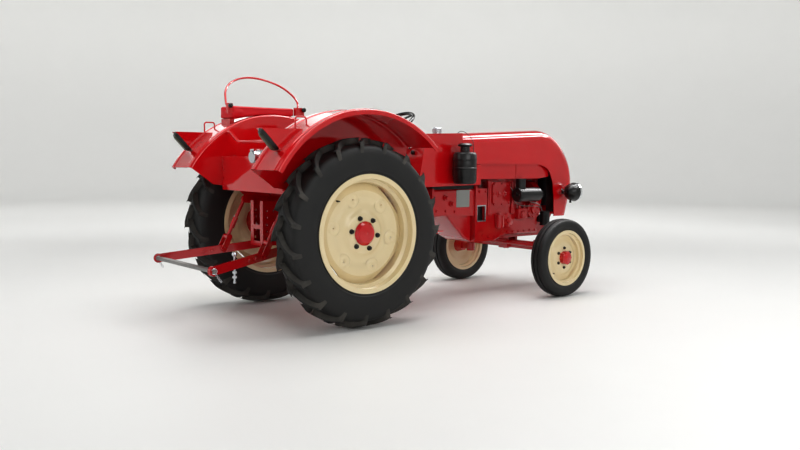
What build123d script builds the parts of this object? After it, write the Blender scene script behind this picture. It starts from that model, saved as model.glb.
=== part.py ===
from build123d import *
import math
import os

# A two-cylinder farm tractor of the 1950s, restored: rear engine-and-gearbox backbone with no
# separate frame, big rear wheels, a narrow steered front axle, a one-piece tilting bonnet, two
# deep fenders with a passenger seat on the left one, and a two-arm rear linkage.
# X points forward, Y to the left and Z up. The origin is on the floor, midway between the
# foremost point of the nose and the rearmost point of the linkage.

os.makedirs("parts", exist_ok=True)

# Driving dimensions, in millimetres. Distances along the tractor are counted from the rear axle.
WHEELBASE = 2016
NOSE_REACH = 2570
LINK_REACH = 951
REAR_AXLE_X = -(NOSE_REACH - LINK_REACH) / 2
FRONT_AXLE_X = REAR_AXLE_X + WHEELBASE

REAR_TYRE_R = 610
REAR_TYRE_W = 242
REAR_SEAT_R = 356
REAR_FLANGE_R = 381
REAR_RIM_W = 230
REAR_WHEEL_Y = 619

FRONT_TYRE_R = 310
FRONT_TYRE_W = 130
FRONT_SEAT_R = 203
FRONT_FLANGE_R = 221
FRONT_RIM_W = 112
FRONT_WHEEL_Y = 592

KINGPIN_Y = 455
KINGPIN_R = 18
STEER_ARM = 150
STEER_ARM_Z = 428
DRAG_ARM = 125
AXLE_BEAM_Z = (345, 412)

BODY_HALF = 250
SHEET = 6
HOOD_REAR = 1245
HOOD_HINGE = (2430, 640)
HOOD_BROW = (2330, 1341)
HOOD_NOSE = (2613, 975)
CHIN = (2500, 610)
NOSE_RAKE = 0.28
NOSE_BEND = 400
SHOULDER_R = 90
NOSE_GAP = 5

FENDER_R = 785
FENDER_SHEET = 6
FENDER_INNER_Y = 420
FENDER_OUTER_Y = 748
FENDER_BAND_R = 791
FENDER_START = 45
FENDER_END = 149

LINK_PIVOT = (-160, 162, 502)
LINK_END = (-922, 405, 410)
LIFT_SHAFT = (-60, 787)
LIFT_SHAFT_R = 24
LIFT_ARM_END = (-345, 800)
LIFT_ROD_FOOT = (-517, 459)
LIFT_ROD_Y = 275
LIFT_FORK_Y = ((242, 248), (303, 309))

PLAY = 0.5
PIN_R = 8
HALF_SHAFT_R = 30
SPINDLE_R = 15
PITMAN_TOP = (1150, 640)
PITMAN_LENGTH = 180
PITMAN_Y = (322, 338)
COLUMN_R = 22

SIDES = (("left", 1), ("right", -1))


def fore(distance):
    """X of a point that lies this far ahead of the rear axle."""
    return REAR_AXLE_X + distance


def block(x_span, y_span, z_span, mode=Mode.ADD):
    """A box between two X ahead of the rear axle, two Y and two Z."""
    spans = (tuple(fore(x) for x in x_span), y_span, z_span)
    with Locations(tuple((low + high) / 2 for low, high in spans)):
        Box(*(abs(high - low) for low, high in spans), mode=mode)


def bar(start, end, radius, mode=Mode.ADD):
    """A round bar between two points whose X is counted from the rear axle."""
    first = Vector(fore(start[0]), start[1], start[2])
    last = Vector(fore(end[0]), end[1], end[2])
    with BuildSketch(Plane(origin=first, z_dir=last - first)) as section:
        Circle(radius)
    extrude(section.sketch, amount=(last - first).length, mode=mode)


def side_plate(points, y_low, y_high, mode=Mode.ADD):
    """A side outline of X and Z points, as thick as the two Y say."""
    with BuildSketch(Plane.XZ.offset(-y_high)) as outline:
        with BuildLine():
            Polyline(*[(fore(x), z) for x, z in points], close=True)
        make_face()
    extrude(outline.sketch, amount=y_high - y_low, mode=mode)


def strap(start, end, width, y_low, y_high, mode=Mode.ADD):
    """A flat bar with round ends between two X and Z points, as thick as the two Y say."""
    slope = math.degrees(math.atan2(end[1] - start[1], end[0] - start[0]))
    with BuildSketch(Plane.XZ.offset(-y_high)) as outline:
        with Locations((fore((start[0] + end[0]) / 2), (start[1] + end[1]) / 2)):
            SlotCenterToCenter(math.dist(start, end), width, rotation=slope)
    extrude(outline.sketch, amount=y_high - y_low, mode=mode)


def cross_bar(x, z, y_low, y_high, radius, mode=Mode.ADD):
    """A round bar across the tractor."""
    bar((x, y_low, z), (x, y_high, z), radius, mode)


def lathe(profile, centre, axis, mode=Mode.ADD):
    """A turned form: profile points are (distance along the axis, radius)."""
    aside = Vector(1, 0, 0) if axis[2] else Vector(0, 0, 1)
    plane = Plane(origin=centre, x_dir=axis, z_dir=Vector(axis).cross(aside))
    with BuildSketch(plane) as section:
        with BuildLine():
            Polyline(*profile, close=True)
        make_face()
    revolve(section.sketch, axis=Axis(centre, axis), mode=mode)


def tube_path(points, radii, radius):
    """A round tube along straight runs joined by arcs."""
    with BuildLine() as route:
        FilletPolyline(*points, radius=radii)
    with BuildSketch(Plane(origin=route.line @ 0, z_dir=route.line % 0)) as section:
        Circle(radius)
    sweep(section.sketch, path=route.wire())


# Wheels

def tyre_body(profile, centre, sides):
    """A tyre's carcass as flat facets: profile points are (distance across, distance from the axle)."""
    with BuildPart() as body:
        for across, radius in profile:
            ring = Plane(origin=Vector(centre) + Vector(0, across, 0), x_dir=(1, 0, 0), z_dir=(0, 1, 0))
            with BuildSketch(ring):
                RegularPolygon(radius, sides, major_radius=False)
        loft(ruled=True)
    return body.part


def lug(centre, angle, half):
    """One tread lug at an angle round the axle, on the half of the tread that half's sign names."""
    turn = math.radians(angle)
    outward = Vector(math.cos(turn), 0, math.sin(turn))
    along = Vector(-math.sin(turn), 0, math.cos(turn))
    plane = Plane(origin=Vector(centre) + outward * LUG_TOP_R, x_dir=along, z_dir=outward)
    with BuildSketch(plane) as tread:
        with BuildLine():
            Polyline(*[(around, -half * across) for around, across in LUG_OUTLINE], close=True)
        make_face()
    return extrude(tread.sketch, amount=-LUG_DEPTH)


def rim(rim_width, flange_r, seat_r, well_r, wall):
    """Cross-section of a drop-centre rim."""
    half = rim_width / 2
    return [
        (-half, flange_r),
        (-half, seat_r - wall),
        (-half * 0.56, seat_r - wall),
        (-half * 0.46, well_r - wall),
        (half * 0.46, well_r - wall),
        (half * 0.56, seat_r - wall),
        (half, seat_r - wall),
        (half, flange_r),
        (half - wall, flange_r),
        (half - wall, seat_r),
        (half * 0.5, seat_r),
        (half * 0.4, well_r),
        (-half * 0.4, well_r),
        (-half * 0.5, seat_r),
        (-half + wall, seat_r),
        (-half + wall, flange_r),
    ]


def wheel_disc(profile, centre, sign, flat_r, hole_r):
    """A dished disc whose edge is cut to four lobes, with six drain holes where hole_r isn't 0."""
    with BuildPart() as disc:
        lathe(profile, centre, (0, sign, 0))
        with BuildSketch(Plane(origin=centre, x_dir=(1, 0, 0), z_dir=(0, -1, 0))) as lobes:
            Rectangle(2 * flat_r, 2 * flat_r, rotation=sign * LOBE_TURN)
        extrude(lobes.sketch, amount=200, both=True, mode=Mode.INTERSECT)
        if hole_r:
            for turn in range(HOLE_TURN, 360 + HOLE_TURN, 60):
                x = hole_r * math.cos(math.radians(turn))
                z = centre[2] + hole_r * math.sin(math.radians(turn))
                cross_bar(x, z, sign * 400, sign * 800, 5, Mode.SUBTRACT)
    return disc.part


# Degrees: how far the discs' lobes are turned, and where the first drain hole stands.
LOBE_TURN = 48
HOLE_TURN = 50

# Across the tyre from its middle, and out from the axle.
REAR_CARCASS = [(-109, REAR_FLANGE_R), (-121, 490), (-96, 568), (96, 568), (121, 490),
                (109, REAR_FLANGE_R)]
FRONT_CARCASS = [(-51, FRONT_FLANGE_R), (-65, 256), (-54, 300), (-24, 307), (-22, 299), (-14, 299),
                 (-12, 307), (12, 307), (14, 299), (22, 299), (24, 307), (54, 300), (65, 256),
                 (51, FRONT_FLANGE_R)]
FRONT_SIDES = 24

# The lugs stand in pairs, half a pitch apart. Outline of one: round the tread, and across from the middle.
LUG_PAIRS = 19
LUG_PITCH = 360 / LUG_PAIRS
LUG_TOP_R = 602
LUG_DEPTH = 57
LUG_OUTLINE = [(-96, -14), (-24, 6), (40, 52), (96, 119), (54, 119), (8, 70), (-44, 28)]

REAR_DISC = [(48, 60), (48, 120), (30, 150), (22, 200), (32, 240), (32, 270), (-4, 318), (-4, 331),
             (4, 331), (4, 326), (40, 275), (40, 236), (30, 196), (38, 154), (56, 124), (56, 60)]
REAR_HUB = [(-60, 0), (-60, 62), (-22, 62), (-22, 112), (0, 118), (48, 118), (48, 60), (56, 60),
            (56, 40), (61, 40), (61, 78), (62, 78), (82, 60), (88, 0)]
FRONT_DISC = [(20, 40), (20, 110), (-2, 150), (-2, 183), (3, 183), (3, 153), (25, 113), (25, 40)]
FRONT_HUB = [(-48, 0), (-48, 44), (-20, 52), (20, 62), (20, 40), (25, 40), (25, 52), (62, 48),
             (68, 36), (68, 0)]

for side, sign in SIDES:
    outward = (0, sign, 0)
    rear_centre = (REAR_AXLE_X, sign * REAR_WHEEL_Y, REAR_TYRE_R)
    front_centre = (FRONT_AXLE_X, sign * FRONT_WHEEL_Y, FRONT_TYRE_R)

    lugs = [lug(rear_centre, (pair + 0.25 * half) * LUG_PITCH, half)
            for pair in range(LUG_PAIRS) for half in (1, -1)]
    with BuildPart() as rear_tyre:
        add(tyre_body(REAR_CARCASS, rear_centre, 2 * LUG_PAIRS))
        cross_bar(0, REAR_TYRE_R, sign * (REAR_WHEEL_Y - 150), sign * (REAR_WHEEL_Y + 150), REAR_SEAT_R,
                  Mode.SUBTRACT)
        add(lugs, clean=False)
    rear_tyre.part.label = f"rear_tyre_{side}"
    export_step(rear_tyre.part, f"parts/rear_tyre_{side}.step")

    with BuildPart() as rear_wheel:
        add(wheel_disc(REAR_DISC, rear_centre, sign, 302, 230))
        lathe(rim(REAR_RIM_W, REAR_FLANGE_R, REAR_SEAT_R, 334, SHEET), rear_centre, outward)
    rear_wheel.part.label = f"rear_wheel_{side}"
    export_step(rear_wheel.part, f"parts/rear_wheel_{side}.step")

    with BuildPart() as rear_hub:
        lathe(REAR_HUB, rear_centre, outward)
        bar((0, sign * 510, REAR_TYRE_R), (0, sign * 575, REAR_TYRE_R), HALF_SHAFT_R)
    rear_hub.part.label = f"rear_hub_{side}"
    export_step(rear_hub.part, f"parts/rear_hub_{side}.step")

    with BuildPart() as front_tyre:
        add(tyre_body(FRONT_CARCASS, front_centre, FRONT_SIDES))
        cross_bar(WHEELBASE, FRONT_TYRE_R, sign * (FRONT_WHEEL_Y - 90), sign * (FRONT_WHEEL_Y + 90),
                  FRONT_SEAT_R, Mode.SUBTRACT)
    front_tyre.part.label = f"front_tyre_{side}"
    export_step(front_tyre.part, f"parts/front_tyre_{side}.step")

    with BuildPart() as front_wheel:
        add(wheel_disc(FRONT_DISC, front_centre, sign, 172, 0))
        lathe(rim(FRONT_RIM_W, FRONT_FLANGE_R, FRONT_SEAT_R, 186, 5), front_centre, outward)
    front_wheel.part.label = f"front_wheel_{side}"
    export_step(front_wheel.part, f"parts/front_wheel_{side}.step")

    with BuildPart() as front_hub:
        lathe(FRONT_HUB, front_centre, outward)
        bar((WHEELBASE, sign * 540, FRONT_TYRE_R), (WHEELBASE, sign * 600, FRONT_TYRE_R), SPINDLE_R + PLAY,
            Mode.SUBTRACT)
    front_hub.part.label = f"front_hub_{side}"
    export_step(front_hub.part, f"parts/front_hub_{side}.step")


# Front axle and steering

with BuildPart() as front_axle:
    block((WHEELBASE - 34, WHEELBASE + 34), (-KINGPIN_Y + 30, KINGPIN_Y - 30), AXLE_BEAM_Z)
    fillet(front_axle.edges().filter_by(Axis.Y), 12)
    for side, sign in SIDES:
        bar((WHEELBASE, sign * KINGPIN_Y, AXLE_BEAM_Z[0]), (WHEELBASE, sign * KINGPIN_Y, AXLE_BEAM_Z[1]), 38)
        bar((WHEELBASE, sign * KINGPIN_Y, AXLE_BEAM_Z[0]), (WHEELBASE, sign * KINGPIN_Y, AXLE_BEAM_Z[1]),
            KINGPIN_R + 0.5, Mode.SUBTRACT)
    bar((WHEELBASE - 40, 0, 380), (WHEELBASE + 40, 0, 380), 46)
front_axle.part.label = "front_axle"
export_step(front_axle.part, "parts/front_axle.step")

for side, sign in SIDES:
    pin = (WHEELBASE, sign * KINGPIN_Y)
    arm_end = (WHEELBASE - STEER_ARM, sign * KINGPIN_Y)
    with BuildPart() as knuckle:
        bar((*pin, 270), (*pin, STEER_ARM_Z + 18), KINGPIN_R)
        bar((*pin, 272), (*pin, AXLE_BEAM_Z[0] - 2), 38)
        bar((*pin, AXLE_BEAM_Z[1] + 2), (*pin, STEER_ARM_Z + 18), 32)
        cross_bar(WHEELBASE, FRONT_TYRE_R, sign * KINGPIN_Y, sign * 538, 30)
        cross_bar(WHEELBASE, FRONT_TYRE_R, sign * 538, sign * 596, SPINDLE_R)
        block((WHEELBASE - STEER_ARM, WHEELBASE), (sign * KINGPIN_Y - 16, sign * KINGPIN_Y + 16),
              (STEER_ARM_Z, STEER_ARM_Z + 16))
        bar((*arm_end, STEER_ARM_Z), (*arm_end, STEER_ARM_Z + 16), 22)
        bar((*arm_end, STEER_ARM_Z - 40), (*arm_end, STEER_ARM_Z), PIN_R)
        if side == "left":
            drag_end = (WHEELBASE, KINGPIN_Y - DRAG_ARM)
            block((WHEELBASE - 16, WHEELBASE + 16), (KINGPIN_Y - DRAG_ARM, KINGPIN_Y),
                  (STEER_ARM_Z, STEER_ARM_Z + 16))
            bar((*drag_end, STEER_ARM_Z), (*drag_end, STEER_ARM_Z + 16), 22)
    knuckle.part.label = f"knuckle_{side}"
    export_step(knuckle.part, f"parts/knuckle_{side}.step")

with BuildPart() as tie_rod:
    reach = WHEELBASE - STEER_ARM
    cross_bar(reach, 400, -KINGPIN_Y, KINGPIN_Y, 11)
    for side, sign in SIDES:
        eye = (reach, sign * KINGPIN_Y)
        bar((*eye, 382), (*eye, STEER_ARM_Z - 2), 20)
        bar((*eye, 382), (*eye, STEER_ARM_Z - 2), PIN_R + PLAY, Mode.SUBTRACT)
tie_rod.part.label = "tie_rod"
export_step(tie_rod.part, "parts/tie_rod.step")

PITMAN_FOOT = (PITMAN_TOP[0], PITMAN_TOP[1] - PITMAN_LENGTH)
with BuildPart() as steering_box:
    block((1080, 1220), (182, 300), (590, 760))
    fillet(steering_box.edges().filter_by(Axis.Y), 34)
    cross_bar(*PITMAN_TOP, 290, PITMAN_Y[0] - 2, 34)
steering_box.part.label = "steering_box"
export_step(steering_box.part, "parts/steering_box.step")

with BuildPart() as pitman_arm:
    strap(PITMAN_TOP, PITMAN_FOOT, 44, *PITMAN_Y)
    cross_bar(*PITMAN_FOOT, PITMAN_Y[1], 372, PIN_R)
pitman_arm.part.label = "pitman_arm"
export_step(pitman_arm.part, "parts/pitman_arm.step")

with BuildPart() as drag_link:
    bar((PITMAN_FOOT[0], 356, PITMAN_FOOT[1]), (WHEELBASE, KINGPIN_Y - DRAG_ARM, 465), 11)
    cross_bar(*PITMAN_FOOT, PITMAN_Y[1] + 3, 372, 19)
    bar((WHEELBASE, KINGPIN_Y - DRAG_ARM, STEER_ARM_Z + 22), (WHEELBASE, KINGPIN_Y - DRAG_ARM, 480), 19)
    cross_bar(*PITMAN_FOOT, PITMAN_Y[1], 376, PIN_R + PLAY, Mode.SUBTRACT)
drag_link.part.label = "drag_link"
export_step(drag_link.part, "parts/drag_link.step")

STEERING_WHEEL = (720, 1330)
STEERING_WHEEL_R = 210
STEERING_TILT = 30
tilt = math.radians(STEERING_TILT)
column_axis = (-math.sin(tilt), 0, math.cos(tilt))
wheel_centre = (fore(STEERING_WHEEL[0]), 0, STEERING_WHEEL[1])
with BuildPart() as steering_wheel:
    wheel_plane = Plane(origin=wheel_centre, x_dir=(math.cos(tilt), 0, math.sin(tilt)), z_dir=column_axis)
    with Locations(wheel_plane.location):
        Torus(STEERING_WHEEL_R - 13, 13)
        Cylinder(34, 40)
        with Locations((0, 0, -40)):
            Cylinder(10, 80)
    with BuildSketch(wheel_plane.offset(-5)):
        with PolarLocations(0, 3, start_angle=90):
            with Locations((100, 0)):
                Rectangle(190, 22)
    extrude(amount=10)
steering_wheel.part.label = "steering_wheel"
export_step(steering_wheel.part, "parts/steering_wheel.step")


def down_column(distance):
    """A point on the steering column's axis, this far below the steering wheel's plane."""
    return (STEERING_WHEEL[0] - distance * column_axis[0], 0, STEERING_WHEEL[1] - distance * column_axis[2])


with BuildPart() as steering_column:
    bar(down_column(26), down_column(330), COLUMN_R)
    bar(down_column(26), down_column(90), 10 + PLAY, Mode.SUBTRACT)
steering_column.part.label = "steering_column"
export_step(steering_column.part, "parts/steering_column.step")


# Backbone: gearbox, rear axle, engine

GEARBOX_BOSSES = ((1130, 789), (1193, 741))
with BuildPart() as gearbox:
    side_plate([(180, 500), (180, 790), (560, 790), (620, 855), (1440, 855), (1440, 430), (1356, 468),
                (1173, 648), (620, 600), (480, 500)], -150, 150)
    fillet(gearbox.edges().filter_by(lambda edge: abs(abs(edge.center().Y) - 150) < 1
                                     and edge.center().X > fore(500)), 16)
    side_plate([(990, 660), (990, 855), (1440, 855), (1440, 640)], -182, 182)
    fillet(gearbox.edges().filter_by(Axis.X).filter_by(lambda edge: abs(edge.center().Z - 855) < 1), 22)
    block((990, 1008), (-192, 192), (650, 862))
    block((560, 578), (-160, 160), (590, 800))
    for x, z in GEARBOX_BOSSES:
        cross_bar(x, z, -196, -180, 22)
gearbox.part.label = "gearbox"
export_step(gearbox.part, "parts/gearbox.step")

# Out from the middle of the axle, and out from its axis.
TRUMPET = [(120, 0), (120, 140), (150, 140), (170, 112), (330, 84), (498, 80), (505, 112), (545, 112),
           (545, 0)]
with BuildPart() as rear_axle:
    block((-180, 180), (-140, 140), (470, 800))
    fillet(rear_axle.edges().filter_by(Axis.X), 30)
    block((-112, -8), (-140, 140), (790, 836))
    for side, sign in SIDES:
        lathe(TRUMPET, (REAR_AXLE_X, 0, REAR_TYRE_R), (0, sign, 0))
        block((-60, 60), (sign * 400, sign * FENDER_INNER_Y), (640, 900))
        cross_bar(0, REAR_TYRE_R, sign * 505, sign * 545, HALF_SHAFT_R + PLAY, Mode.SUBTRACT)
        cross_bar(LINK_PIVOT[0], LINK_PIVOT[2], sign * 130, sign * 176, 12)
    cross_bar(*LIFT_SHAFT, -140, 140, LIFT_SHAFT_R + PLAY, Mode.SUBTRACT)
rear_axle.part.label = "rear_axle"
export_step(rear_axle.part, "parts/rear_axle.step")

CYLINDERS_X = (1665, 1965)
BARREL_R = 72
BARREL_Z = (780, 930)
FIN_R = 94
FIN = 4
FIN_PITCH = 13
FIN_COUNT = 9
CRANKCASE_HALF = 165
WINDOW = ((1462, 1552), (-200, -150), (598, 716))
TAPPET_COVER = [(1640, 735), (1660, 715), (1820, 715), (1840, 735), (1840, 880), (1820, 900), (1660, 900),
                (1640, 880)]
with BuildPart() as engine_block:
    side_plate([(1440, 790), (1440, 430), (1700, 430), (1800, 470), (2200, 470), (2200, 730), (2150, 790)],
               -CRANKCASE_HALF, CRANKCASE_HALF)
    fillet(engine_block.edges().filter_by(lambda edge: abs(abs(edge.center().Y) - CRANKCASE_HALF) < 1
                                          and 440 < edge.center().Z < 780), 14)
    block((1440, 1575), (-186, 186), (520, 855))
    block((1440, 1458), (-196, 196), (445, 875))
    block(*WINDOW, Mode.SUBTRACT)
    for x in CYLINDERS_X:
        bar((x, 0, BARREL_Z[0]), (x, 0, BARREL_Z[1]), BARREL_R)
        for fin in range(FIN_COUNT):
            low = 802 + fin * FIN_PITCH
            bar((x, 0, low), (x, 0, low + FIN), FIN_R)
    side_plate([(1630, 700), (1630, 905), (1850, 905), (1850, 700)], -178, -60)
    side_plate(TAPPET_COVER, -188, -178)
    cross_bar(2110, 672, -205, -CRANKCASE_HALF, 76)
    cross_bar(2110, 672, -222, -205, 40)
engine_block.part.label = "engine_block"
export_step(engine_block.part, "parts/engine_block.step")

SHROUD_SEAM = (1860, 1866)
with BuildPart() as cooling_shroud:
    side_plate([(1460, 930), (1460, 1120), (2180, 1120), (2260, 1020), (2260, 945), (2140, 930)], -222, 222)
    fillet(cooling_shroud.edges().filter_by(Axis.Y).sort_by(Axis.X)[-2:], 20)
    for side, sign in SIDES:
        block(SHROUD_SEAM, (sign * 214, sign * 224), (930, 1120), Mode.SUBTRACT)
cooling_shroud.part.label = "cooling_shroud"
export_step(cooling_shroud.part, "parts/cooling_shroud.step")

# Along the blower's axis ahead of the rear axle, and out from it: housing, intake lip, hub.
BLOWER_FORM = [(2200, 0), (2200, 150), (2262, 150), (2285, 128), (2285, 112), (2250, 104), (2250, 52),
               (2288, 48), (2300, 30), (2300, 0)]
with BuildPart() as blower:
    lathe(BLOWER_FORM, (fore(0), 0, 760), (1, 0, 0))
blower.part.label = "blower"
export_step(blower.part, "parts/blower.step")

with BuildPart() as generator:
    bar((1850, -245, 800), (2110, -245, 800), 58)
    fillet(generator.edges().filter_by(GeomType.CIRCLE), 12)
    bar((1900, -245, 820), (1900, -245, 930), 40)
    block((1900, 2060), (-210, -185), (770, 830))
generator.part.label = "generator"
export_step(generator.part, "parts/generator.step")

AIR_CLEANER = (1170, -354)
# Height, and out from the air cleaner's axis: bowl, bead, drum, neck and cap.
AIR_CLEANER_FORM = [(900, 0), (900, 68), (908, 82), (922, 88), (1010, 88), (1013, 91), (1021, 91),
                    (1024, 88), (1122, 88), (1136, 80), (1143, 36), (1178, 34), (1183, 50), (1194, 56),
                    (1204, 44), (1207, 0)]
with BuildPart() as air_cleaner:
    lathe(AIR_CLEANER_FORM, (fore(AIR_CLEANER[0]), AIR_CLEANER[1], 0), (0, 0, 1))
    block((AIR_CLEANER[0] - 30, AIR_CLEANER[0] + 30), (-290, -BODY_HALF), (960, 1100))
air_cleaner.part.label = "air_cleaner"
export_step(air_cleaner.part, "parts/air_cleaner.step")

with BuildPart() as exhaust:
    bar((2262, -190, 530), (2262, -190, 650), 42)
    block((2200, 2262), (-185, -150), (560, 620))
exhaust.part.label = "exhaust"
export_step(exhaust.part, "parts/exhaust.step")

with BuildPart() as front_support:
    block((1800, 2260), (-110, 110), (440, 470))
    side_plate([(2200, 470), (2260, 440), (2420, 575), (2420, 606), (2340, 606), (2200, 540)], -110, 110)
    for face in (-1, 1):
        block((WHEELBASE + face * 40, WHEELBASE + face * 62), (-50, 50), (340, 440))
        strap((2400, 590), HOOD_HINGE, 40, face * 105 - 5, face * 105 + 5)
    cross_bar(*HOOD_HINGE, -130, 130, PIN_R)
front_support.part.label = "front_support"
export_step(front_support.part, "parts/front_support.step")

with BuildPart() as pedals:
    for side, sign in SIDES:
        bar((760, sign * 182, 640), (700, sign * 250, 720), 9)
        block((680, 720), (sign * 225, sign * 285), (715, 727))
        block((740, 780), (sign * 150, sign * 190), (620, 660))
pedals.part.label = "pedals"
export_step(pedals.part, "parts/pedals.step")

with BuildPart() as gear_lever:
    bar((680, 0, 855), (680, 0, 900), 34)
    bar((680, 0, 890), (620, 0, 1080), 7)
gear_lever.part.label = "gear_lever"
export_step(gear_lever.part, "parts/gear_lever.step")


# Body: cowl, hood, grille, lamps

CAP_R = 36
CAP_SEAT_Z = 1268
COWL_SIDE = [(800, 876), (1440, 888), (1440, 1046), (HOOD_REAR - NOSE_GAP, 1046), (HOOD_REAR - NOSE_GAP, 1284),
             (880, 1272)]
with BuildPart() as cowl:
    side_plate(COWL_SIDE, -BODY_HALF, BODY_HALF)
    top = cowl.edges().group_by(Axis.Z)[-1].filter_by(lambda edge: abs(edge.center().Y) > BODY_HALF - 1)
    fillet(cowl.edges().filter_by(Axis.X).group_by(Axis.Z)[-1] + top, 80)
    side_plate([(900, 860), (900, 1150), (1500, 1150), (1500, 860)], -BODY_HALF + SHEET, BODY_HALF - SHEET,
               Mode.SUBTRACT)
    block((1170, 1230), (-120, 120), (855, 1160))
    bar((1197, 0, CAP_SEAT_Z), (1197, 0, 1300), CAP_R, Mode.SUBTRACT)
    bar(down_column(0), down_column(330), COLUMN_R, Mode.SUBTRACT)
cowl.part.label = "cowl"
export_step(cowl.part, "parts/cowl.step")

with BuildPart() as fuel_cap:
    bar((1197, 0, CAP_SEAT_Z), (1197, 0, 1332), CAP_R)
    fillet(fuel_cap.edges().group_by(Axis.Z)[-1], 10)
fuel_cap.part.label = "fuel_cap"
export_step(fuel_cap.part, "parts/fuel_cap.step")


def nose_line(z, depth):
    """X and Z of a point on the nose's lower front slope, this far behind the surface."""
    return (CHIN[0] + (z - CHIN[1]) * NOSE_RAKE - depth, z)


def hood_form(inset):
    """The bonnet's outer form, closed below and behind, or the hollow inside it when inset."""
    half = BODY_HALF - inset
    with BuildPart() as form:
        with BuildSketch(Plane.XZ.offset(-half)) as outline:
            with BuildLine():
                Polyline((fore(HOOD_REAR), 1284), (fore(HOOD_BROW[0]), HOOD_BROW[1]),
                         (fore(HOOD_NOSE[0]), HOOD_NOSE[1]), (fore(nose_line(550, 0)[0]), 550),
                         (fore(HOOD_REAR), 550), close=True)
            make_face()
            fillet(outline.vertices().sort_by(Axis.Y)[-1], NOSE_BEND)
            fillet(outline.vertices().sort_by(Axis.X)[-1], NOSE_BEND)
            offset(amount=-inset, kind=Kind.INTERSECTION, mode=Mode.REPLACE)
        extrude(amount=2 * half)
        shoulders = form.edges().filter_by(
            lambda edge: abs(abs(edge.center().Y) - half) < 1
            and edge.center().Z > 600 and edge.center().X > fore(HOOD_REAR + 50))
        fillet(shoulders, SHOULDER_R - inset)
        if inset:
            extrude(form.faces().sort_by(Axis.X)[0], amount=30)
    return form.part


HOOD_ARCH = [(1100, 1052), (2140, 1045), (2210, 1015), (2245, 984), (2285, 900), (2303, 780), (2310, 610),
             (2700, 610), (2700, 400), (1100, 400)]
GRILLE_SPAN = ((2450, 2700), (-110, 110), (690, 930))
GRILLE_SLOTS = 9
GRILLE_EDGE = 14
SLAT = 9
SLOT_PITCH = (GRILLE_SPAN[2][1] - GRILLE_SPAN[2][0] - 2 * GRILLE_EDGE + SLAT) / GRILLE_SLOTS
with BuildPart() as hood:
    add(hood_form(0))
    add(hood_form(SHEET), mode=Mode.SUBTRACT)
    side_plate(HOOD_ARCH, -BODY_HALF - 1, BODY_HALF + 1, Mode.SUBTRACT)
    block(*GRILLE_SPAN, Mode.SUBTRACT)
    for side, sign in SIDES:
        strap(HOOD_HINGE, (2500, 650), 34, sign * 121 - 5, sign * 121 + 5)
        cross_bar(*HOOD_HINGE, sign * 110, sign * 132, PIN_R + PLAY, Mode.SUBTRACT)
hood.part.label = "hood"
export_step(hood.part, "parts/hood.step")

with BuildPart() as grille:
    add(hood_form(0))
    add(hood_form(SHEET), mode=Mode.SUBTRACT)
    block(*GRILLE_SPAN, Mode.INTERSECT)
    for slot in range(GRILLE_SLOTS):
        low = GRILLE_SPAN[2][0] + GRILLE_EDGE + slot * SLOT_PITCH
        for side, sign in SIDES:
            block(GRILLE_SPAN[0], (sign * 6, sign * 98), (low, low + SLOT_PITCH - SLAT), Mode.SUBTRACT)
grille.part.label = "grille"
export_step(grille.part, "parts/grille.step")

# Along the beam from the bowl's middle, and out from its axis.
HEADLAMP = [(-62, 0), (-58, 24), (-44, 46), (-18, 66), (14, 75), (34, 79), (46, 79), (46, 71), (54, 48),
            (58, 0)]
with BuildPart() as headlamps:
    for side, sign in SIDES:
        lathe(HEADLAMP, (fore(2410), sign * 350, 816), (1, 0, 0))
        bar((2400, sign * 350, 725), (2400, sign * 350, 770), 9)
        cross_bar(2390, 816, sign * BODY_HALF, sign * 300, 14)
headlamps.part.label = "headlamps"
export_step(headlamps.part, "parts/headlamps.step")


# Fenders, deck and seats

def arc_point(radius, angle):
    """A point on a circle round the rear axle, at an angle from straight ahead."""
    turn = math.radians(angle)
    return (REAR_AXLE_X + radius * math.cos(turn), REAR_TYRE_R + radius * math.sin(turn))


# From the wall over the raised inner band and the ridge to the outer lip: across, radius, bend radius.
FENDER_SECTION = [(FENDER_INNER_Y, 735, 0), (FENDER_INNER_Y, FENDER_BAND_R, 18), (478, FENDER_BAND_R, 7),
                  (488, FENDER_R, 7), (694, FENDER_R, 4), (700, FENDER_R + 5, 4), (710, FENDER_R + 5, 4),
                  (716, FENDER_R, 4), (FENDER_OUTER_Y, FENDER_R, 10), (FENDER_OUTER_Y, 752, 0)]
WALL_TOP_R = 766


def fender_shell(sign):
    """The pressed shell of one fender: its section, one sheet thick, turned round the rear axle."""
    turn = math.radians(FENDER_START)
    radial = Vector(math.cos(turn), 0, math.sin(turn))
    centre = Vector(REAR_AXLE_X, 0, REAR_TYRE_R)
    plane = Plane(origin=centre, x_dir=(0, sign, 0), z_dir=Vector(0, sign, 0).cross(radial))
    with BuildPart() as shell:
        with BuildSketch(plane) as section:
            with BuildLine():
                FilletPolyline(*[(across, radius) for across, radius, bend in FENDER_SECTION],
                               radius=[bend for across, radius, bend in FENDER_SECTION[1:-1]])
                offset(amount=FENDER_SHEET, side=Side.RIGHT)
            make_face()
        revolve(section.sketch, axis=Axis(centre, (0, -1, 0)), revolution_arc=FENDER_END - FENDER_START)
    return shell.part


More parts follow.
